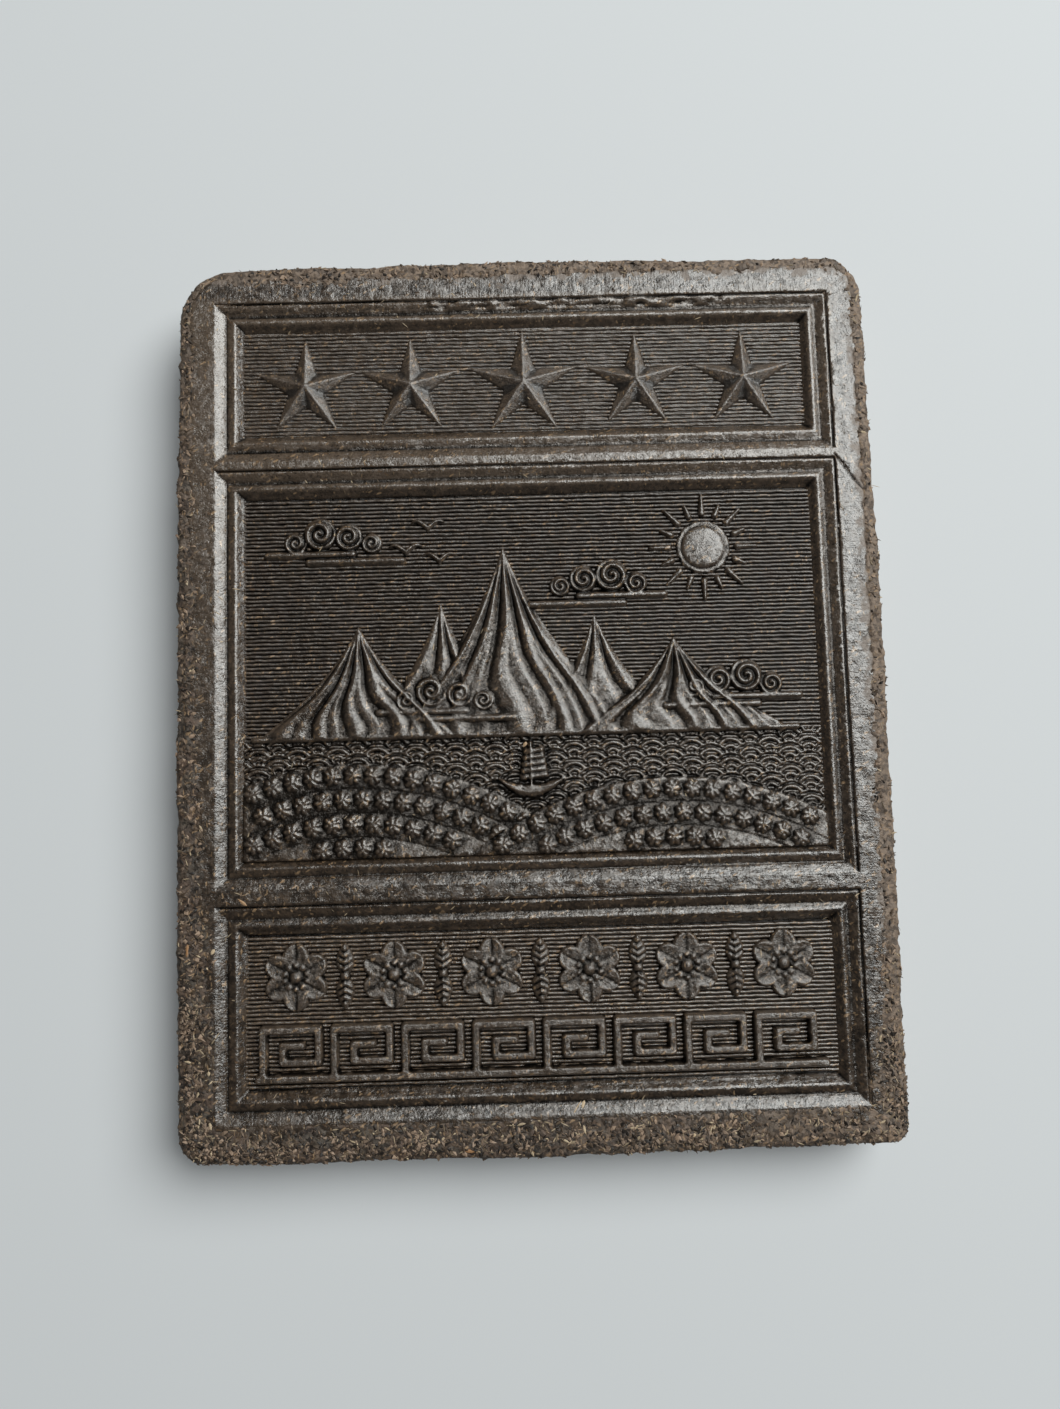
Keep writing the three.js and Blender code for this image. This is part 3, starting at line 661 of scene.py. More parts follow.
def picture_relief(relief):
    low = (-relief.half_width, -relief.half_height)
    relief.raise_to(wave, low, (relief.half_width, SHORE_LEVEL))
    for apex, feet, *form in MOUNTAINS:
        relief.raise_to(mountain, (feet[0], SHORE_LEVEL), (feet[1], apex[1]), apex, feet, *form)
    relief.stroke([(end, SHORE_LEVEL) for end in SHORE_ENDS], *SHORE_STROKE, round_top)
    for form in HILLS:
        relief.cover_with(hill, *form)
        tea_rows(relief, *form)
    relief.stamp(sun, SUN["centre"], SUN["radius"])
    for i in range(SUN_RAYS["count"]):
        angle = 2 * math.pi * i / SUN_RAYS["count"]
        way = np.array((math.cos(angle), math.sin(angle)))
        ends = [SUN["centre"] + way * reach for reach in (SUN_RAYS["start"], SUN_RAYS["ends"][i % 2])]
        relief.stroke(ends, *RAY_STROKE, round_top, SUN_RAYS["end_width"])
    for x, y, hand in CLOUDS:
        for across, up, radius in CLOUD_PUFFS:
            relief.stamp(puff, (x + hand * across, y + up), radius, radius, hand)
        for start, end, up in CLOUD_STREAKS:
            ends = [(x + hand * start, y + up), (x + hand * end, y + up)]
            relief.stroke(ends, *STREAK_STROKE, round_top)
    for place in BIRDS:
        relief.stamp(bird, place, BIRD["reach"])
    x, y = BOAT["middle"]
    relief.stamp(hull, (x, y), BOAT["length"] / 2)
    relief.stroke([(x, y - 1), (x, y + BOAT["mast"])], *MAST_STROKE, round_top)
    relief.stamp(sail, (x, y), BOAT["mast"])


def ornament_relief(relief):
    for i in range(BLOSSOM["count"]):
        place = ((i - (BLOSSOM["count"] - 1) / 2) * BLOSSOM["spacing"], BLOSSOM["level"])
        relief.stamp(blossom, place, BLOSSOM["radius"] + 0.5)
        if i + 1 < BLOSSOM["count"]:
            between = (place[0] + BLOSSOM["spacing"] / 2, place[1])
            for way in (1, -1):
                relief.stamp(leaf, between, LEAF["length"], way)
            relief.stamp(bud, between, BUD["radius"])
    start, low = -FRET["count"] / 2 * FRET["pitch"], FRET["low"]
    relief.stroke([(start, low), (-start, low)], FRET["stroke"], FRET["rise"], flat_top)
    for i in range(FRET["count"]):
        path = [(start + (i + share) * FRET["pitch"], low + up * FRET["height"]) for share, up in FRET_PATH]
        relief.stroke(path, FRET["stroke"], FRET["rise"], flat_top)


def relief_panel(name, panel, draw, rib_groove, seed):
    """A panel's ground and relief as a closed slab that is let into the face."""
    middle, half_height = panel
    inset = FRAME_WIDTH - RELIEF_LAP
    relief = ReliefMap(PANEL_HALF_WIDTH - inset, half_height - inset)
    draw(relief)
    relief.smooth()
    x, y = np.meshgrid(relief.across, relief.up + middle)
    places = np.stack([x, y, np.zeros_like(x)], axis=-1)
    grain = layered(places, (0.05, 0.9, seed), (0.05, 2.6, seed + 1), (0.05, 9, seed + 2))
    groove = rib_groove * unit(1 - relief.height / rib_groove)
    z = GROUND + relief.height - groove + grain
    return thinned(closed_slab(name, x, y, z, RELIEF_BOTTOM, RELIEF_CREASES))


# The pressed face and the crumbling edge


def filled(breaks, step):
    """Sorted places that hold every break, with even steps between them."""
    breaks = np.unique(np.round(breaks, 4))
    runs = [np.linspace(a, b, math.ceil((b - a) / step) + 1) for a, b in zip(breaks, breaks[1:])]
    return np.unique(np.round(np.concatenate(runs), 4))


def panel_depth(x, y):
    """Depth of the mouldings below the rim, and how far each place is inside a panel."""
    well_wall = 0.2
    inside = np.full(x.shape, -99.0)
    depth = np.zeros(x.shape)
    for middle, half_height in PANELS:
        top_right = np.minimum(PANEL_HALF_WIDTH - x, middle + half_height - y)
        bottom_left = np.minimum(PANEL_HALF_WIDTH + x, y - middle + half_height)
        section = np.where(
            top_right < bottom_left,
            np.interp(top_right, *zip(*GROOVE_AND_LIP, *MOULDING)),
            np.interp(bottom_left, *zip(*PLAIN_BEVEL, *MOULDING)),
        )
        inside = np.maximum(inside, np.minimum(top_right, bottom_left))
        depth = np.where(inside > np.minimum(top_right, bottom_left), depth, section)
    return depth + unit((inside - FRAME_WIDTH) / well_wall) * WELL_DROP, inside


def crumbled_lift(places):
    """Height of the crumbled layer over the rim, which it dips under where it ends in ragged flakes."""
    x, y = places[:, 0], places[:, 1]
    ragged = layered(places, *LAYER_RAGGED)
    inward = {"left": WIDTH / 2 + x, "right": WIDTH / 2 - x, "bottom": HEIGHT / 2 + y, "top": HEIGHT / 2 - y}
    shares = []
    for side, (reach, stations, parts) in LAYER_REACH.items():
        along = y if side in ("left", "right") else x
        shares.append((inward[side] + ragged) / (reach * np.interp(along, stations, parts)))
    lift = np.interp(np.min(shares, axis=0), (0.4, 1.0, 1.5), (LAYER_LIFT, 0, -LAYER_DIP))
    return lift + layered(places, *LAYER_CRUMBS)


def pressed_face():
    """The rim, bars and mouldings as one slab whose border dips under the crumbling edge."""
    half_x, half_y = half_sizes(FACE_INSET)
    insets = np.array([into for into, _ in PLAIN_BEVEL + GROOVE_AND_LIP + MOULDING])
    sides = PANEL_HALF_WIDTH - insets
    ends = [end for middle, half in PANELS for end in (middle + half - insets, middle - half + insets)]
    x, y = np.meshgrid(
        filled(np.concatenate([[-half_x, half_x], sides, -sides]), FACE_STEP),
        filled(np.concatenate([[-half_y, half_y], *ends]), FACE_STEP),
    )
    x, y = rounded(x, y, FACE_INSET)
    depth, inside = panel_depth(x, y)
    places = np.stack([x, y, np.zeros_like(x)], axis=-1)
    # The grain is coarser on the rim and bars than in the mouldings
    on_rim = unit(-inside / 0.8)
    grain = layered(places, (0.02 + 0.035 * on_rim, 1.3, 33), (0.03, 0.85, 34), (0.06 * on_rim, 2.3, 38))
    nearest, farthest = FLAKED["inset"]
    flaked = (inside > nearest) & (inside < farthest) & (y > FACE_TOP - farthest)
    flaked &= np.abs(x - FLAKED["middle"]) < FLAKED["reach"]
    grain += flaked * FLAKED["rise"] * np.clip(2.5 * bumps(places * (0.55, 1, 1), 1.5, 36), -1, 1)
    border = np.minimum(half_x - np.abs(x), half_y - np.abs(y))
    droop = 0.7 * unit(1 - (border + 0.6 * bumps(places, 2.2, 35)) / 1.2) ** 2
    crack = stroke_share(x, y, CRACK_PATH, CRACK["width"], CRACK["end_width"])
    crack += CRACK["ragged"] * bumps(places, 0.9, 37)
    gap = CRACK["depth"] * unit(1 - crack) ** 0.7
    z = THICKNESS - depth + layered(places, *RIM_WAVES) + grain - droop - gap
    return thinned(closed_slab("pressed_face", x, y, z, FACE_BOTTOM, FACE_CREASES))


def crumbling_edge():
    """The sides, shoulder, crumbled layer and back as one slab, whose sunk middle the face covers."""
    side_heights = np.arange(*EDGE_SIDE["from_to"], OUTLINE_STEP)
    side = [(EDGE_SIDE["inset"] - EDGE_SIDE["lean"] * z, z) for z in side_heights]
    layer = [(inset, THICKNESS) for inset in LAYER_INSETS]
    section = [*EDGE_BACK, *EDGE_FOOT, *side, *EDGE_SHOULDER, *layer, *EDGE_MIDDLE]
    out = outline_ring(0) - outline_ring(2)
    out /= np.linalg.norm(out, axis=1, keepdims=True)
    run = np.gradient(np.array(section), axis=0)
    rings = []
    for (inset, z), (run_in, run_up) in zip(section, run):
        flat = outline_ring(inset)
        ring = np.column_stack([flat, np.full(len(flat), z)])
        if inset in LAYER_INSETS:
            places = ring * (1, 1, 0)
            ring[:, 2] += layered(places, *RIM_WAVES) + crumbled_lift(places)
        else:
            steep = np.hypot(run_in, run_up)
            facing = np.column_stack([out * run_up / steep, np.full(len(out), run_in / steep)])
            # The lumps fade towards the back and in under the face
            rough = np.clip((z - 0.2) / 1.5, 0.08, 1) * (0.35 + 0.65 * unit((2 - inset) / 1.5))
            ring += facing * (layered(ring, *EDGE_LUMPS) * rough)[:, None]
        rings.append(ring)
    count = len(out)
    corner = np.arange(len(rings) * count).reshape(len(rings), count)
    after = np.roll(corner, -1, axis=1)
    quads = np.stack([corner[:-1], after[:-1], after[1:], corner[1:]], axis=-1).reshape(-1, 4)
    points = np.vstack([*rings, rings[0].mean(axis=0), rings[-1].mean(axis=0)])
    points[:, 2] = np.maximum(points[:, 2], 0)
    back, top = (np.full(count, len(points) - last) for last in (2, 1))
    back_cap = np.stack([back, after[0], corner[0]], axis=-1)
    top_cap = np.stack([top, corner[-1], after[-1]], axis=-1)
    return mesh_object("crumbling_edge", points, quads, np.vstack([back_cap, top_cap]))


# Node trees


class Nodes:
    """A tree that nodes are added to. An input is linked to another node's socket, or set to a value."""

    def __init__(self, tree):
        self.tree = tree

    def feed(self, socket, value):
        if isinstance(value, bpy.types.NodeSocket):
            self.tree.links.new(value, socket)
        else:
            socket.default_value = value

    def add(self, kind, inputs=None, **settings):
        """The outputs of a new node with its settings and inputs."""
        node = self.tree.nodes.new(kind)
        for name, value in settings.items():
            setattr(node, name, value)
        for key, value in (inputs or {}).items():
            self.feed(node.inputs[key], value)
        return node.outputs

    def calc(self, operation, *values):
        return self.add("ShaderNodeMath", dict(enumerate(values)), operation=operation)[0]

    def product(self, first, *others):
        for value in others:
            first = self.calc("MULTIPLY", first, value)
        return first

    def vector(self, operation, first, second=None):
        inputs = {0: first}
        if second is not None:
            inputs["Scale" if operation == "SCALE" else 1] = second
        return self.add("ShaderNodeVectorMath", inputs, operation=operation)[0]

    def ramp(self, value, low, high, to_low=0.0, to_high=1.0):
        """A value mapped from one range to another, smoothly and within its ends."""
        inputs = {"Value": value, "From Min": low, "From Max": high, "To Min": to_low, "To Max": to_high}
        return self.add("ShaderNodeMapRange", inputs, interpolation_type="SMOOTHSTEP")[0]

    def mix(self, share, first, second):
        return self.add("ShaderNodeMix", {0: share, 6: first, 7: second}, data_type="RGBA")[2]

    def xyz(self, vector):
        return self.add("ShaderNodeSeparateXYZ", {0: vector})

    def combine(self, *values):
        return self.add("ShaderNodeCombineXYZ", dict(enumerate(values)))[0]

    def noise(self, scale, detail, where=None, **more):
        inputs = {"Scale": scale, "Detail": detail, **more}
        if where is not None:
            inputs["Vector"] = where
        return self.add("ShaderNodeTexNoise", inputs)

    def cells(self, scale, where):
        return self.add("ShaderNodeTexVoronoi", {"Vector": where, "Scale": scale})


def new_group(name, kind, inputs, outputs):
    """A node group: its nodes, the sockets that it is given and the sockets that it gives."""
    tree = bpy.data.node_groups.new(name, kind)
    for in_out, sockets in (("INPUT", inputs), ("OUTPUT", outputs)):
        for socket, socket_kind in sockets.items():
            tree.interface.new_socket(socket, in_out=in_out, socket_type="NodeSocket" + socket_kind)
    return Nodes(tree), tree.nodes.new("NodeGroupInput").outputs, tree.nodes.new("NodeGroupOutput").inputs


def end_tree(nodes, made, geometry, material):
    """Ends a geometry tree with plain geometry in one material."""
    real = nodes.add("GeometryNodeRealizeInstances", {"Geometry": geometry})
    finished = nodes.add("GeometryNodeSetMaterial", {"Geometry": real[0], "Material": material})
    nodes.feed(made[0], finished[0])
    return nodes.tree


def grown(name, tree, values):
    """A new piece made by a geometry tree with its named inputs set, as a plain mesh."""
    piece = new_object(name, bpy.data.meshes.new(name))
    modifier = piece.modifiers.new(tree.name, "NODES")
    modifier.node_group = tree
    for item in tree.interface.items_tree:
        if item.in_out == "INPUT" and item.name in values:
            modifier[item.identifier] = values[item.name]
    return settled(piece)


# Ribs of the panel grounds


def rib_tree():
    """Rows of slightly uneven rods along X, side by side up a panel."""
    inputs = {"Length": "Float", "Radius": "Float", "Count": "Int", "Points": "Int", "Material": "Material"}
    inputs |= dict.fromkeys(("First", "Pitch", "Wobble"), "Vector")
    nodes, given, made = new_group("rib_rows", "GeometryNodeTree", inputs, {"Geometry": "Geometry"})
    layout = {"Count": given["Count"], "Start Location": given["First"], "Offset": given["Pitch"]}
    rows = nodes.add("GeometryNodeMeshLine", layout, mode="OFFSET")
    line = nodes.add("GeometryNodeCurvePrimitiveLine", {"End": nodes.combine(given["Length"])}, mode="POINTS")
    fine = nodes.add("GeometryNodeResampleCurve", {"Curve": line[0], "Count": given["Points"]})
    lines = nodes.add("GeometryNodeInstanceOnPoints", {"Points": rows[0], "Instance": fine[0]})
    real = nodes.add("GeometryNodeRealizeInstances", {"Geometry": lines[0]})
    even = nodes.vector("SUBTRACT", nodes.noise(RIB_BENDS, 2.0)["Color"], (0.5, 0.5, 0.5))
    shift = nodes.vector("MULTIPLY", even, given["Wobble"])
    moved = nodes.add("GeometryNodeSetPosition", {"Geometry": real[0], "Offset": shift})
    ring = {"Resolution": RIB_SIDES, "Radius": given["Radius"]}
    section = nodes.add("GeometryNodeCurvePrimitiveCircle", ring)
    sweep = {"Curve": moved[0], "Profile Curve": section[0], "Fill Caps": True}
    rods = nodes.add("GeometryNodeCurveToMesh", sweep)
    smooth = nodes.add("GeometryNodeSetShadeSmooth", {"Geometry": rods[0]})
    return end_tree(nodes, made, smooth[0], given["Material"])


def ribs(name, panel, tree, material):
    """The ribs of one panel's ground, half sunk in it."""
    middle, half_height = panel
    length = 2 * (PANEL_HALF_WIDTH - FRAME_WIDTH + RIB_LAP)
    count = int(2 * (half_height - FRAME_WIDTH) / RIB_PITCH)
    first = middle - (count - 1) * RIB_PITCH / 2
    values = {
        "Length": length * MM,
        "First": (-length / 2 * MM, first * MM, (GROUND + RIB_RISE - RIB_RADIUS) * MM),
        "Pitch": (0.0, RIB_PITCH * MM, 0.0),
        "Count": count,
        "Points": round(length / RIB_SEGMENT),
        "Radius": RIB_RADIUS * MM,
        "Wobble": tuple(size * MM for size in RIB_WOBBLE),
        "Material": material,
    }
    return grown(name, tree, values)


# Crumbs and fibres in the surface


def chip_mesh(width, thickness, stations, sway, seed):
    """Points and faces of a closed flake, 1 mm along X, with a lozenge section that tapers to both ends."""
    blunt_end = 0.15
    draw = np.random.default_rng(seed)
    points = []
    for share in np.linspace(-1, 1, stations):
        taper = math.sqrt(max(1 - share**2, 0)) + blunt_end
        side, lift = draw.uniform(-sway, sway, 2)
        x, y, z = share / 2, side / 2, lift * thickness
        half_y, half_z = taper * width / 2, taper * thickness / 2
        points += [(x, y - half_y, z), (x, y, z - half_z), (x, y + half_y, z), (x, y, z + half_z)]
    corner = np.arange(stations * 4).reshape(stations, 4)
    after = np.roll(corner, -1, axis=1)
    sides = np.stack([corner[:-1], corner[1:], after[1:], after[:-1]], axis=-1).reshape(-1, 4)
    ends = [corner[0], corner[-1, ::-1]]
    return np.array(points), np.vstack([sides, ends])


def flat_faced(name, points, faces):
    piece = mesh_object(name, points, faces)
    piece.data.shade_flat()
    return piece


def face_height(x, y):
    """Height of the face, with its ribs, at one place."""
    depth, _ = panel_depth(np.array([x]), np.array([y]))
    return max(THICKNESS - depth[0], GROUND + RIB_RISE)


def seen_flakes(material):
    """The larger flakes, each lying along the face from one end to the other, and the hair, as one piece."""
    lines = []
    for start, end, width, tone in SEEN_FLAKES:
        lines.append(([(x, y, face_height(x, y)) for x, y in (start, end)], width, tone))
    points, faces, tones = [], [], []
    for number, (ends, width, tone) in enumerate([*lines, HAIR]):
        start, end = np.array(ends)
        along = end - start
        length = np.linalg.norm(along)
        along /= length
        across = np.cross((0, 0, 1), along)
        across /= np.linalg.norm(across)
        thickness, seed = SEEN_SHAPE["thickness"] * width, SEEN_SHAPE["seed"] + number
        shape, sides = chip_mesh(width, thickness, SEEN_SHAPE["stations"], SEEN_SHAPE["sway"], seed)
        turn = np.stack([along * length, across, np.cross(along, across)])
        faces.append(sides + len(shape) * number)
        points.append((start + end) / 2 + shape @ turn)
        tones += [tone] * len(shape)
    piece = flat_faced("seen_flakes", np.vstack(points), np.vstack(faces))
    set_values(piece, "tone", tones)
    piece.data.materials.append(material)
    return piece


def scatter_tree():
    """Flakes strewn over a surface at random, lying nearly flat, each with its own tone.

    They lie above a height on faces that look upward enough, thin out inwards from the border, and grow
    denser towards the foot and sparser towards the right.
    """
    inputs = {"Surface": "Object", "Flake": "Object", "Seed": "Int", "Material": "Material"}
    inputs |= dict.fromkeys(("Smallest", "Largest"), "Vector")
    inputs |= dict.fromkeys(("Lowest", "Least Upward", "Tilt", "Lift"), "Float")
    inputs |= dict.fromkeys(("Per Square Metre", "Border", "Foot Weight", "Right Share"), "Float")
    nodes, given, made = new_group("strewn_flakes", "GeometryNodeTree", inputs, {"Geometry": "Geometry"})
    seed, tilt = given["Seed"], given["Tilt"]
    surface = nodes.add("GeometryNodeObjectInfo", {"Object": given["Surface"]}, transform_space="RELATIVE")
    flake = nodes.add("GeometryNodeObjectInfo", {"Object": given["Flake"]})
    x, y, z = nodes.xyz(nodes.add("GeometryNodeInputPosition")[0])
    normal = nodes.xyz(nodes.add("GeometryNodeInputNormal")[0])
    high = nodes.calc("GREATER_THAN", z, given["Lowest"])
    upward = nodes.calc("GREATER_THAN", normal[2], given["Least Upward"])
    side = nodes.calc("SUBTRACT", WIDTH / 2 * MM, nodes.calc("ABSOLUTE", x))
    end = nodes.calc("SUBTRACT", HEIGHT / 2 * MM, nodes.calc("ABSOLUTE", y))
    dense_border = nodes.product(given["Border"], DENSE_BORDER)
    near = nodes.ramp(nodes.calc("MINIMUM", side, end), given["Border"], dense_border)
    clumps = nodes.ramp(nodes.noise(CLUMPS, 2.0)[0], 0.3, 0.7, 0.25, 1.75)
    foot = nodes.ramp(y, *(place * MM for place in FOOT_STRETCH))
    heavier = nodes.calc("MULTIPLY_ADD", foot, given["Foot Weight"], 1.0)
    right = nodes.ramp(x, *(place * MM for place in RIGHT_STRETCH))
    rightward = nodes.product(right, nodes.calc("SUBTRACT", 1.0, foot))
    fewer = nodes.calc("SUBTRACT", given["Right Share"], 1.0)
    lighter = nodes.calc("MULTIPLY_ADD", rightward, fewer, 1.0)
    chosen = nodes.product(high, upward, near)
    density = nodes.product(given["Per Square Metre"], heavier, lighter, clumps, chosen)
    strewing = {"Mesh": surface["Geometry"], "Density": density, "Seed": seed}
    spots = nodes.add("GeometryNodeDistributePointsOnFaces", strewing, distribute_method="RANDOM")
    lift = nodes.vector("SCALE", spots["Normal"], given["Lift"])
    raised = nodes.add("GeometryNodeSetPosition", {"Geometry": spots["Points"], "Offset": lift})
    tilt_down = nodes.calc("MULTIPLY", tilt, -1.0)
    ranges = {0: nodes.combine(tilt_down, tilt_down, -math.pi), 1: nodes.combine(tilt, tilt, math.pi)}
    turn = nodes.add("FunctionNodeRandomValue", {**ranges, "Seed": seed}, data_type="FLOAT_VECTOR")
    turned = nodes.add("FunctionNodeEulerToRotation", {0: turn[0]})
    turns = {"Rotation": spots["Rotation"], "Rotate By": turned[0]}
    lying = nodes.add("FunctionNodeRotateRotation", turns, rotation_space="LOCAL")
    ranges = {0: given["Smallest"], 1: given["Largest"]}
    size = nodes.add("FunctionNodeRandomValue", {**ranges, "Seed": seed}, data_type="FLOAT_VECTOR")
    setting = {"Points": raised[0], "Instance": flake["Geometry"], "Rotation": lying[0], "Scale": size[0]}
    flakes = nodes.add("GeometryNodeInstanceOnPoints", setting)
    tone = nodes.add("FunctionNodeRandomValue", {"Seed": seed}, data_type="FLOAT")[1]
    storing = {"Geometry": flakes[0], "Name": "tone", "Value": tone}
    toned = nodes.add("GeometryNodeStoreNamedAttribute", storing, data_type="FLOAT", domain="INSTANCE")
    return end_tree(nodes, made, toned[0], given["Material"])


def strewn(
    tree, name, surfaces, flake, material, seed, lie, smallest, largest, right, foot=0.0, border=ANYWHERE
):
    """One kind of flake strewn over several surfaces, each so many to the square metre, as one plain mesh."""
    sizes = {"Smallest": smallest, "Largest": largest, "Border": border * MM}
    values = {**lie, **sizes, "Right Share": right, "Foot Weight": foot, "Flake": flake, "Material": material}
    pieces = []
    for number, (surface, per_square_metre) in enumerate(surfaces):
        values |= {"Surface": surface, "Per Square Metre": per_square_metre, "Seed": seed + number}
        pieces.append(grown(name if number == 0 else f"{name}_{number}", tree, values))
    if len(pieces) > 1:
        with bpy.context.temp_override(active_object=pieces[0], selected_editable_objects=pieces):
            bpy.ops.object.join()
    return pieces[0]


# Materials


def facet_group():
    """Leaf pressed flat: grains, and the larger flakes they lie in, each tilt their own way."""
    inputs = {"Vector": "Vector", "Per Metre": "Float", "Tilt": "Float"}
    outputs = {"Normal": "Vector", "Tone": "Float", "Dust": "Float"}
    nodes, given, made = new_group("leaf_facets", "ShaderNodeTree", inputs, outputs)
    where, per_metre = given["Vector"], given["Per Metre"]
    dust = nodes.noise(nodes.calc("MULTIPLY", per_metre, 1.3), 3.0, where, Roughness=0.6)
    bend = nodes.vector("SCALE", dust["Color"], nodes.calc("DIVIDE", 0.9, per_metre))
    bent = nodes.vector("ADD", where, bend)
    grains = nodes.cells(per_metre, bent)["Color"]
    flakes = nodes.cells(nodes.calc("MULTIPLY", per_metre, 0.42), bent)["Color"]
    both = nodes.add("ShaderNodeMix", {0: 0.4, 4: grains, 5: flakes}, data_type="VECTOR")[1]
    lean = nodes.vector("SCALE", nodes.vector("SUBTRACT", both, (0.5, 0.5, 0.5)), given["Tilt"])
    upright = nodes.add("ShaderNodeNewGeometry")["Normal"]
    nodes.feed(made["Normal"], nodes.vector("NORMALIZE", nodes.vector("ADD", upright, lean)))
    nodes.feed(made["Tone"], nodes.add("ShaderNodeSeparateColor", {0: grains})[0])
    nodes.feed(made["Dust"], dust[0])
    return nodes.tree


def fleck_group():
    """Slivers of stalk in a ground colour: a share of long cells takes a lighter or darker fleck."""
    inputs = {"Vector": "Vector", "Ground": "Color", "Fleck": "Color"}
    inputs |= dict.fromkeys(("Share", "Per Metre", "Bearing"), "Float")
    nodes, given, made = new_group("stalk_flecks", "ShaderNodeTree", inputs, {"Color": "Color"})
    where, ground, fleck = given["Vector"], given["Ground"], given["Fleck"]
    bend = nodes.vector("SCALE", nodes.noise(FLECK_BENDS, 1.0, where)["Color"], FLECK_SWAY * MM)
    turning = {"Vector": nodes.vector("ADD", where, bend), "Angle": given["Bearing"]}
    turned = nodes.add("ShaderNodeVectorRotate", turning, rotation_type="Z_AXIS")[0]
    cells = nodes.cells(given["Per Metre"], nodes.vector("MULTIPLY", turned, (0.3, 1.0, 1.0)))
    random = nodes.add("ShaderNodeSeparateColor", {0: cells["Color"]})
    chosen = nodes.calc("LESS_THAN", random[0], given["Share"])
    mask = nodes.product(chosen, nodes.ramp(cells["Distance"], 0.5, 0.3))
    tone = nodes.mix(random[1], nodes.mix(0.65, fleck, ground), fleck)
    nodes.feed(made["Color"], nodes.mix(mask, ground, tone))
    return nodes.tree


FACETS = facet_group()
FLECKS = fleck_group()


def new_material(name):
    """A material with a bare Principled shader, its nodes and that shader's inputs."""
    material = bpy.data.materials.new(name)
    material.use_nodes = True
    tree = material.node_tree
    shader = next(node for node in tree.nodes if node.type == "BSDF_PRINCIPLED")
    return material, Nodes(tree), shader.inputs


def streaks(nodes, where, up):
    """Fine streaks that run across the top and bottom rims and along everything else."""
    end = nodes.calc("SUBTRACT", HEIGHT / 2 * MM, nodes.calc("ABSOLUTE", up))
    on_end = nodes.calc("LESS_THAN", end, RIM_END * MM)
    long_x = nodes.calc("MULTIPLY_ADD", on_end, 0.85, 0.15)
    long_y = nodes.calc("MULTIPLY_ADD", on_end, -0.85, 1.0)
    drawn = nodes.vector("MULTIPLY", where, nodes.combine(long_x, long_y, 1.0))
    return nodes.noise(STREAKS, 2.0, drawn)[0]


def leaf_colour(nodes, where, tone):
    """Pressed leaf from dark to brown."""
    return nodes.mix(tone, DARK_LEAF, BROWN_LEAF)


def crumbled_colour_and_light(nodes, where, tone):
    """Rubbed leaf, which turns tan towards the upper right and stays darker lower down: its own colour, with
    painted light towards the upper right, where the light comes from, and painted shade lower down the sides.
    """
    x, y, z = nodes.xyz(where)
    # Partly painted light and shade: tan towards the upper right, where the light comes from, and darker
    # lower down the sides
    rightward = nodes.ramp(nodes.calc("MULTIPLY_ADD", x, 1.4, y), -170 * MM, 140 * MM)
    lean = nodes.product(rightward, nodes.ramp(z, 8 * MM, 19 * MM, 0.3, 1.0))
    patch = nodes.noise(WORN_PATCHES, 2.0, where)[0]
    worn = nodes.mix(nodes.ramp(patch, 0.38, 0.62), WORN_GREY, WORN_RED)
    dark = nodes.mix(lean, WORN_DARK, CRUMBLED_BROWN)
    return nodes.mix(tone, dark, nodes.mix(lean, worn, CRUMBLED_TAN))


def rim_dust_and_shade(nodes, up, height, inward, speckle):
    """Share of dust in the mouldings and on the left rim, larger up the face, and smaller in the valleys,
    which paints shade there.
    """
    upward = nodes.ramp(up, *RIM_DUST_AND_SHADE["from_to"], 0.0, RIM_DUST_AND_SHADE["share"])
    settling = nodes.product(upward, nodes.ramp(inward, RIM_DUST_AND_SHADE["inward"] * MM, RIM_END * MM))
    # Painted shade: the dust thins deep in the mouldings, so they are darker there
    deep, level = ((THICKNESS - depth) * MM for depth in RIM_DUST_AND_SHADE["depths"])
    speckled = nodes.product(nodes.ramp(speckle, 0.25, 0.6), nodes.ramp(height, deep, level, 0.3, 1.0))
    return nodes.product(settling, speckled)


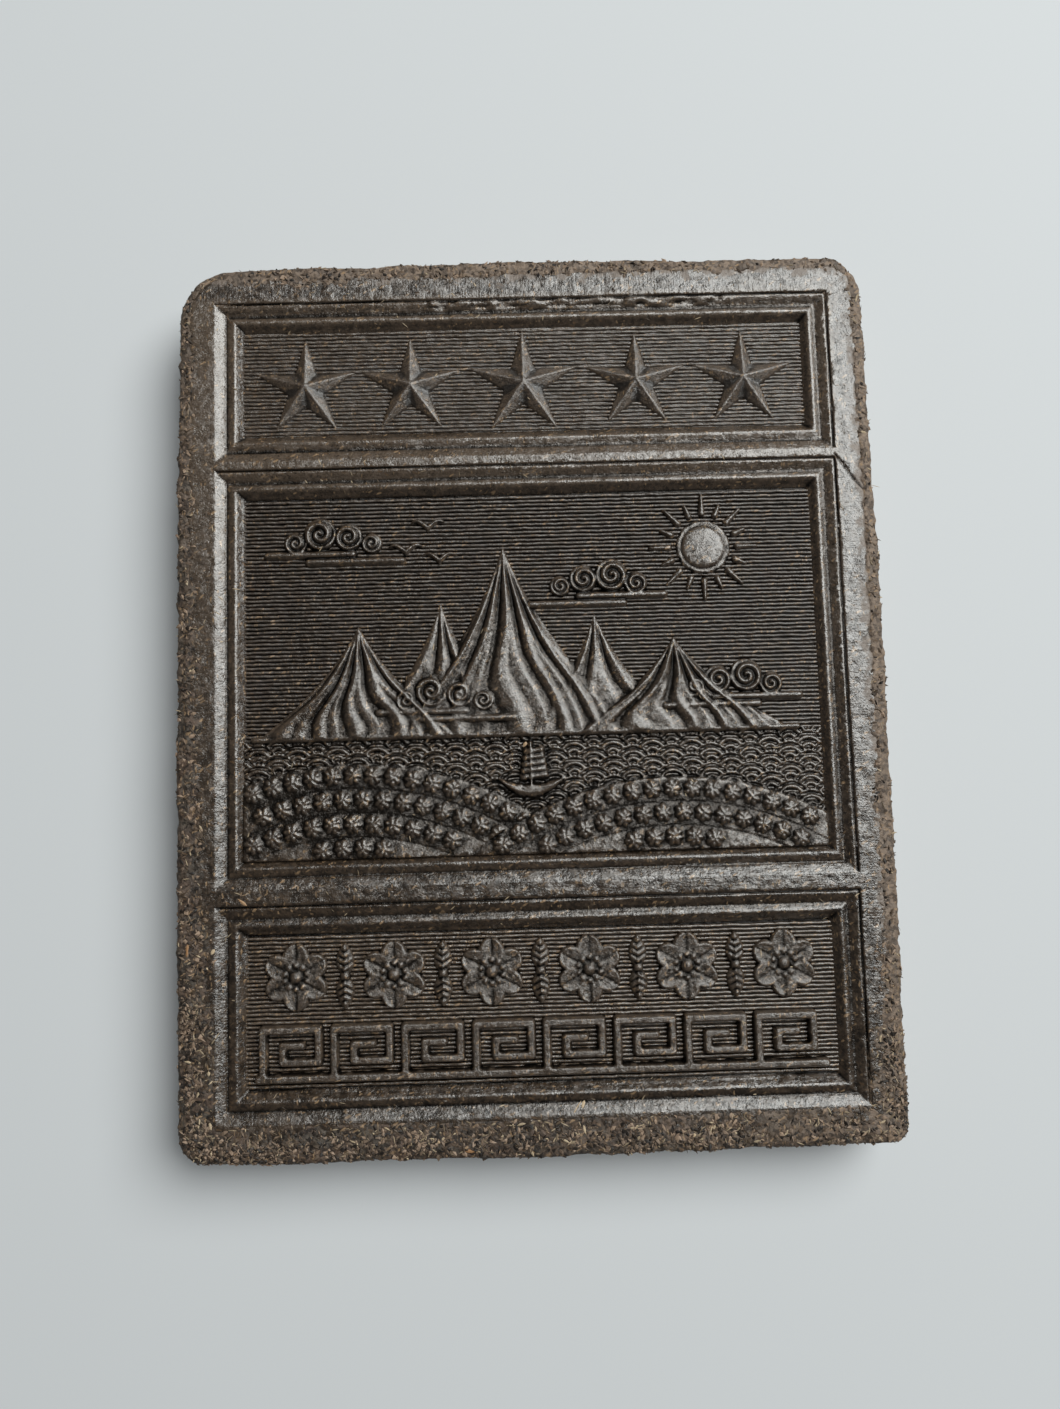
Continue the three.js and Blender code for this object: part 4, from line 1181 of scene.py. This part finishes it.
def tea_material(
    name, rough, tilt, flecks, bump,
    colouring=leaf_colour, grains=2000.0, sheen=1.0, dust=0.0, trap=0.0, sunk=None, rim=False,
):
    """Pressed leaf: grains with slivers of stalk, with painted shade in its creases, and satin where its
    flakes lie flat.

    trap is how far the painted shade of a crease also takes away its gloss: it is set as dark metal, which
    has no gloss of its own. sunk is a pair of heights between which painted shade darkens the leaf downwards.
    A rim is dusty, with less dust and so painted shade in its valleys, pitted with painted shade, and
    streaked, and its outer border at the top and right is rubbed dull.
    """
    material, nodes, shader = new_material(name)
    where = nodes.add("ShaderNodeTexCoord")["Object"]
    x, y, z = nodes.xyz(where)
    inputs = {"Vector": where, "Per Metre": grains, "Tilt": tilt}
    facets = nodes.add("ShaderNodeGroup", inputs, node_tree=FACETS)
    speckle = facets["Dust"]
    mottle = nodes.noise(MOTTLES, 3.0, where)[0]
    uneven = mottle if rim else nodes.noise(PATCHES, 2.0, where)[0]
    roughness = nodes.ramp(uneven, 0.3, 0.7, rough, rough + 0.1)
    grain = nodes.calc("MULTIPLY_ADD", speckle, 0.8, nodes.product(mottle, 1.2))
    # Painted shade: each crease's darkness, read from the pieces
    crease = nodes.add("ShaderNodeAttribute", attribute_name="crease")["Fac"]
    blend = nodes.calc("MULTIPLY_ADD", facets["Tone"], 0.4, nodes.product(mottle, 0.7))
    colour = colouring(nodes, where, nodes.ramp(blend, 0.25, 0.85))
    if dust:
        colour = nodes.mix(nodes.ramp(speckle, 0.35, 0.7, 0.0, dust), colour, PANEL_DUST)
    # Painted shade: the leaf darkens downwards between the sunk heights, in the gaps of the ribs
    if sunk:
        crease = nodes.calc("MAXIMUM", crease, nodes.ramp(z, *(level * MM for level in sunk)))
    if rim:
        side = nodes.calc("SUBTRACT", WIDTH / 2 * MM, x)
        end = nodes.calc("SUBTRACT", HEIGHT / 2 * MM, y)
        inward = nodes.calc("MINIMUM", side, end)
        # Dust, with less of it deep in the mouldings, which paints shade there
        colour = nodes.mix(rim_dust_and_shade(nodes, y, z, inward, speckle), colour, PANEL_DUST)
        # Painted shade in pits: where the dust speckle is sparest the rim darkens to the crease colour
        crease = nodes.calc("MAXIMUM", crease, nodes.ramp(speckle, 0.35, 0.27))
        grain = nodes.calc("MULTIPLY_ADD", streaks(nodes, where, y), 0.6, grain)
    for fleck, bearing, per_metre in STALK_FLECKS:
        inputs = {"Vector": where, "Ground": colour, "Fleck": fleck, "Share": flecks}
        inputs |= {"Per Metre": per_metre, "Bearing": bearing}
        colour = nodes.add("ShaderNodeGroup", inputs, node_tree=FLECKS)["Color"]
    if rim:
        ragged = nodes.calc("SUBTRACT", mottle, 0.5)
        border = nodes.calc("MULTIPLY_ADD", ragged, RUBBED["ragged"] * MM, inward)
        rubbed = nodes.ramp(border, RUBBED["ends"] * MM, RUBBED["dull"] * MM, 0.0, RUBBED["share"])
        colour = nodes.mix(rubbed, colour, RUBBED_TAN)
        roughness = nodes.calc("MULTIPLY_ADD", rubbed, RUBBED["rougher"], roughness)
    # Painted shade: creases, rib gaps and pits darken towards near black
    nodes.feed(shader["Base Color"], nodes.mix(crease, colour, CREASE_SHADE))
    nodes.feed(shader["Roughness"], roughness)
    # Painted shade: the creases are set as dark metal, so they lose their gloss as well as their colour
    if trap:
        nodes.feed(shader["Metallic"], nodes.product(crease, trap))
    shader["Specular IOR Level"].default_value = sheen
    shader["IOR"].default_value = LEAF_IOR
    relief = {"Height": grain, "Strength": bump, "Distance": GRAIN_DEPTH * MM, "Normal": facets["Normal"]}
    nodes.feed(shader["Normal"], nodes.add("ShaderNodeBump", relief)[0])
    return material


# Finishes of the face, edge, reliefs and ribs: roughness, tilt of the grains, share of flecks and bump, and
# what sets each apart
TEA_FINISHES = {
    "pressed_rim": ((0.23, 0.2, 0.08, 0.55), {"grains": 1500.0, "trap": 0.8, "rim": True}),
    "crumbled_edge": ((0.6, 0.6, 0.15, 1.0), {"colouring": crumbled_colour_and_light, "grains": 1300.0, "sheen": 0.5}),
    "pressed_stars": ((0.31, 0.24, 0.11, 0.7), {"dust": 0.78}),
    "pressed_relief": ((0.26, 0.26, 0.09, 0.5), {"dust": 0.45, "trap": 0.85, "sunk": RIB_GAPS}),
    "pressed_ornament": ((0.3, 0.32, 0.12, 0.7), {"dust": 0.55, "trap": 0.85, "sunk": RIB_GAPS}),
    "star_ribs": ((0.33, 0.28, 0.12, 0.6), {"dust": 0.7}),
    "picture_ribs": ((0.4, 0.28, 0.1, 0.5), {"dust": 0.2, "sunk": RIB_GAPS}),
    "ornament_ribs": ((0.26, 0.28, 0.12, 0.5), {"dust": 1.0, "sunk": RIB_GAPS}),
}


def flake_material(name, dark, light, rough, rarity):
    """Loose leaf whose tone differs from flake to flake; the higher the rarity, the fewer are light."""
    material, nodes, shader = new_material(name)
    tone = nodes.add("ShaderNodeAttribute", attribute_name="tone")["Fac"]
    where = nodes.add("ShaderNodeTexCoord")["Object"]
    fibre = nodes.calc("SUBTRACT", nodes.noise(FIBRES, 2.0, where)[0], 0.5)
    share = nodes.ramp(nodes.calc("MULTIPLY_ADD", fibre, 0.4, tone), 0.0, 1.1)
    nodes.feed(shader["Base Color"], nodes.mix(nodes.calc("POWER", share, rarity), dark, light))
    shader["Roughness"].default_value = rough
    return material


# Stage


def studio():
    """A plain pale floor under soft light that comes mainly from the upper right."""
    signs = ((-1, -1), (1, -1), (1, 1), (-1, 1))
    corners = np.array([(x * FLOOR_REACH, y * FLOOR_REACH, FLOOR_LEVEL) for x, y in signs])
    floor = mesh_object("floor", corners, np.array([[0, 1, 2, 3]]))
    material, _, shader = new_material("floor_paint")
    shader["Base Color"].default_value = FLOOR_PAINT
    shader["Roughness"].default_value = 0.9
    floor.data.materials.append(material)
    light = bpy.data.lights.new("window", "AREA")
    light.shape = "DISK"
    light.size = WINDOW["size"]
    light.energy = WINDOW["watts"]
    light.color = WINDOW["colour"]
    lamp = new_object("window", light)
    lamp.location = Vector(WINDOW["place"]) * MM
    lamp.rotation_mode = "QUATERNION"
    lamp.rotation_quaternion = (-Vector(WINDOW["place"])).to_track_quat("-Z", "Y")
    world = bpy.data.worlds.new("room")
    world.use_nodes = True
    for name, value in ROOM.items():
        world.node_tree.nodes["Background"].inputs[name].default_value = value
    bpy.context.scene.world = world
    bpy.context.scene.view_settings.view_transform = "Standard"


def camera():
    """The camera over the face, turned a little so that the frame sits as it was seen."""
    data = bpy.data.cameras.new("camera")
    data.sensor_width = SENSOR_MM
    data.lens = SENSOR_MM * FOCAL_PIXELS / max(IMAGE_WIDTH, IMAGE_HEIGHT)
    data.clip_start = 0.01
    look = Vector(CAMERA_LOOK).normalized()
    right = Vector(CAMERA_RIGHT)
    right = (right - look * right.dot(look)).normalized()
    turn = Matrix((right, right.cross(look), -look)).transposed()
    seen = new_object("camera", data)
    seen.matrix_world = Matrix.Translation(Vector(CAMERA_PLACE) * MM) @ turn.to_4x4()
    bpy.context.scene.camera = seen


# The whole brick


def pressed_pieces():
    """The face, the edge, the panels' reliefs and their ribs, each in its own finish."""
    finishes = {name: tea_material(name, *look, **more) for name, (look, more) in TEA_FINISHES.items()}
    *body_finishes, star_ribs, picture_ribs, ornament_ribs = finishes.values()
    bodies = [
        pressed_face(),
        crumbling_edge(),
        relief_panel("star_relief", STAR_PANEL, star_relief, STAR_RIB_GROOVE, 51),
        relief_panel("picture_relief", PICTURE_PANEL, picture_relief, RIB_GROOVE, 61),
        relief_panel("ornament_relief", ORNAMENT_PANEL, ornament_relief, RIB_GROOVE, 71),
    ]
    for piece, finish in zip(bodies, body_finishes):
        piece.data.materials.append(finish)
    rows = rib_tree()
    rib_finishes = (star_ribs, picture_ribs, ornament_ribs)
    return bodies + [ribs(finish.name, panel, rows, finish) for panel, finish in zip(PANELS, rib_finishes)]


def loose_pieces(face, edge, stars, picture, ornament):
    """The crumbs, fibres and flakes in and on the surfaces."""
    leaf_crumb = flake_material("leaf_crumb", BROWN_LEAF, CRUMB_TAN, 0.7, 1.9)
    leaf_fibre = flake_material("leaf_fibre", SODDEN_STALK, STALK_PALE, 0.6, 2.6)
    rim_crumb = flake_material("rim_crumb", WORN_DARK, CRUMB_TAN, 0.6, 2.1)
    rim_flake = flake_material("rim_flake", BROWN_LEAF, STALK_PALE, 0.65, 3.0)
    stalk_flake = flake_material("stalk_flake", STALK_ORANGE, STALK_PALE, 0.6, 1.0)
    crumb = flat_faced("crumb_shape", *chip_mesh(*CRUMB_SHAPE))
    fibre = flat_faced("fibre_shape", *chip_mesh(*FIBRE_SHAPE))
    flake = flat_faced("flake_shape", *chip_mesh(*FLAKE_SHAPE))
    flat = {"Lowest": (GROUND - 0.2) * MM, "Least Upward": 0.6, "Tilt": 0.15, "Lift": 0.04 * MM}
    steep = {"Lowest": 1.4 * MM, "Least Upward": -0.6, "Tilt": 0.5, "Lift": 0.05 * MM}
    on_layer = {**flat, "Lowest": (THICKNESS - 0.25) * MM}
    pressed = [(face, 24_000), (stars, 12_000), (picture, 12_000), (ornament, 22_000)]
    tree = scatter_tree()
    pieces = [
        strewn(
            tree, "edge_crumbs", [(edge, 180_000)], crumb, leaf_crumb, 81, steep,
            smallest=(0.5, 0.5, 0.4), largest=(2.2, 2.0, 1.4), right=0.45,
        ),
        strewn(
            tree, "edge_fibres", [(edge, 84_000)], fibre, leaf_fibre, 82, steep,
            smallest=(0.6, 0.6, 0.6), largest=(2.6, 1.6, 1.5), right=0.7, foot=1.5,
        ),
        strewn(
            tree, "rim_crumbs", [(edge, 380_000)], crumb, rim_crumb, 83, {**on_layer, "Tilt": 0.45},
            smallest=(0.3, 0.3, 0.4), largest=(2.2, 1.6, 1.5), right=0.4, foot=3.0, border=9.0,
        ),
        strewn(
            tree, "rim_flakes", [(edge, 60_000)], flake, rim_flake, 84, on_layer,
            smallest=(0.45, 0.35, 0.6), largest=(2.6, 1.4, 1.5), right=0.5, foot=4.0, border=11.0,
        ),
        strewn(
            tree, "face_fibres", pressed, fibre, leaf_fibre, 85, flat,
            smallest=(0.6, 0.5, 0.5), largest=(2.3, 1.2, 1.0), right=0.8,
        ),
        seen_flakes(stalk_flake),
    ]
    for shape in (crumb, fibre, flake):
        bpy.data.objects.remove(shape)
    return pieces


def build():
    pressed = pressed_pieces()
    for piece in pressed + loose_pieces(*pressed[:5]):
        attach(piece, "root")
        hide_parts("tea_brick")


build()
studio()
camera()
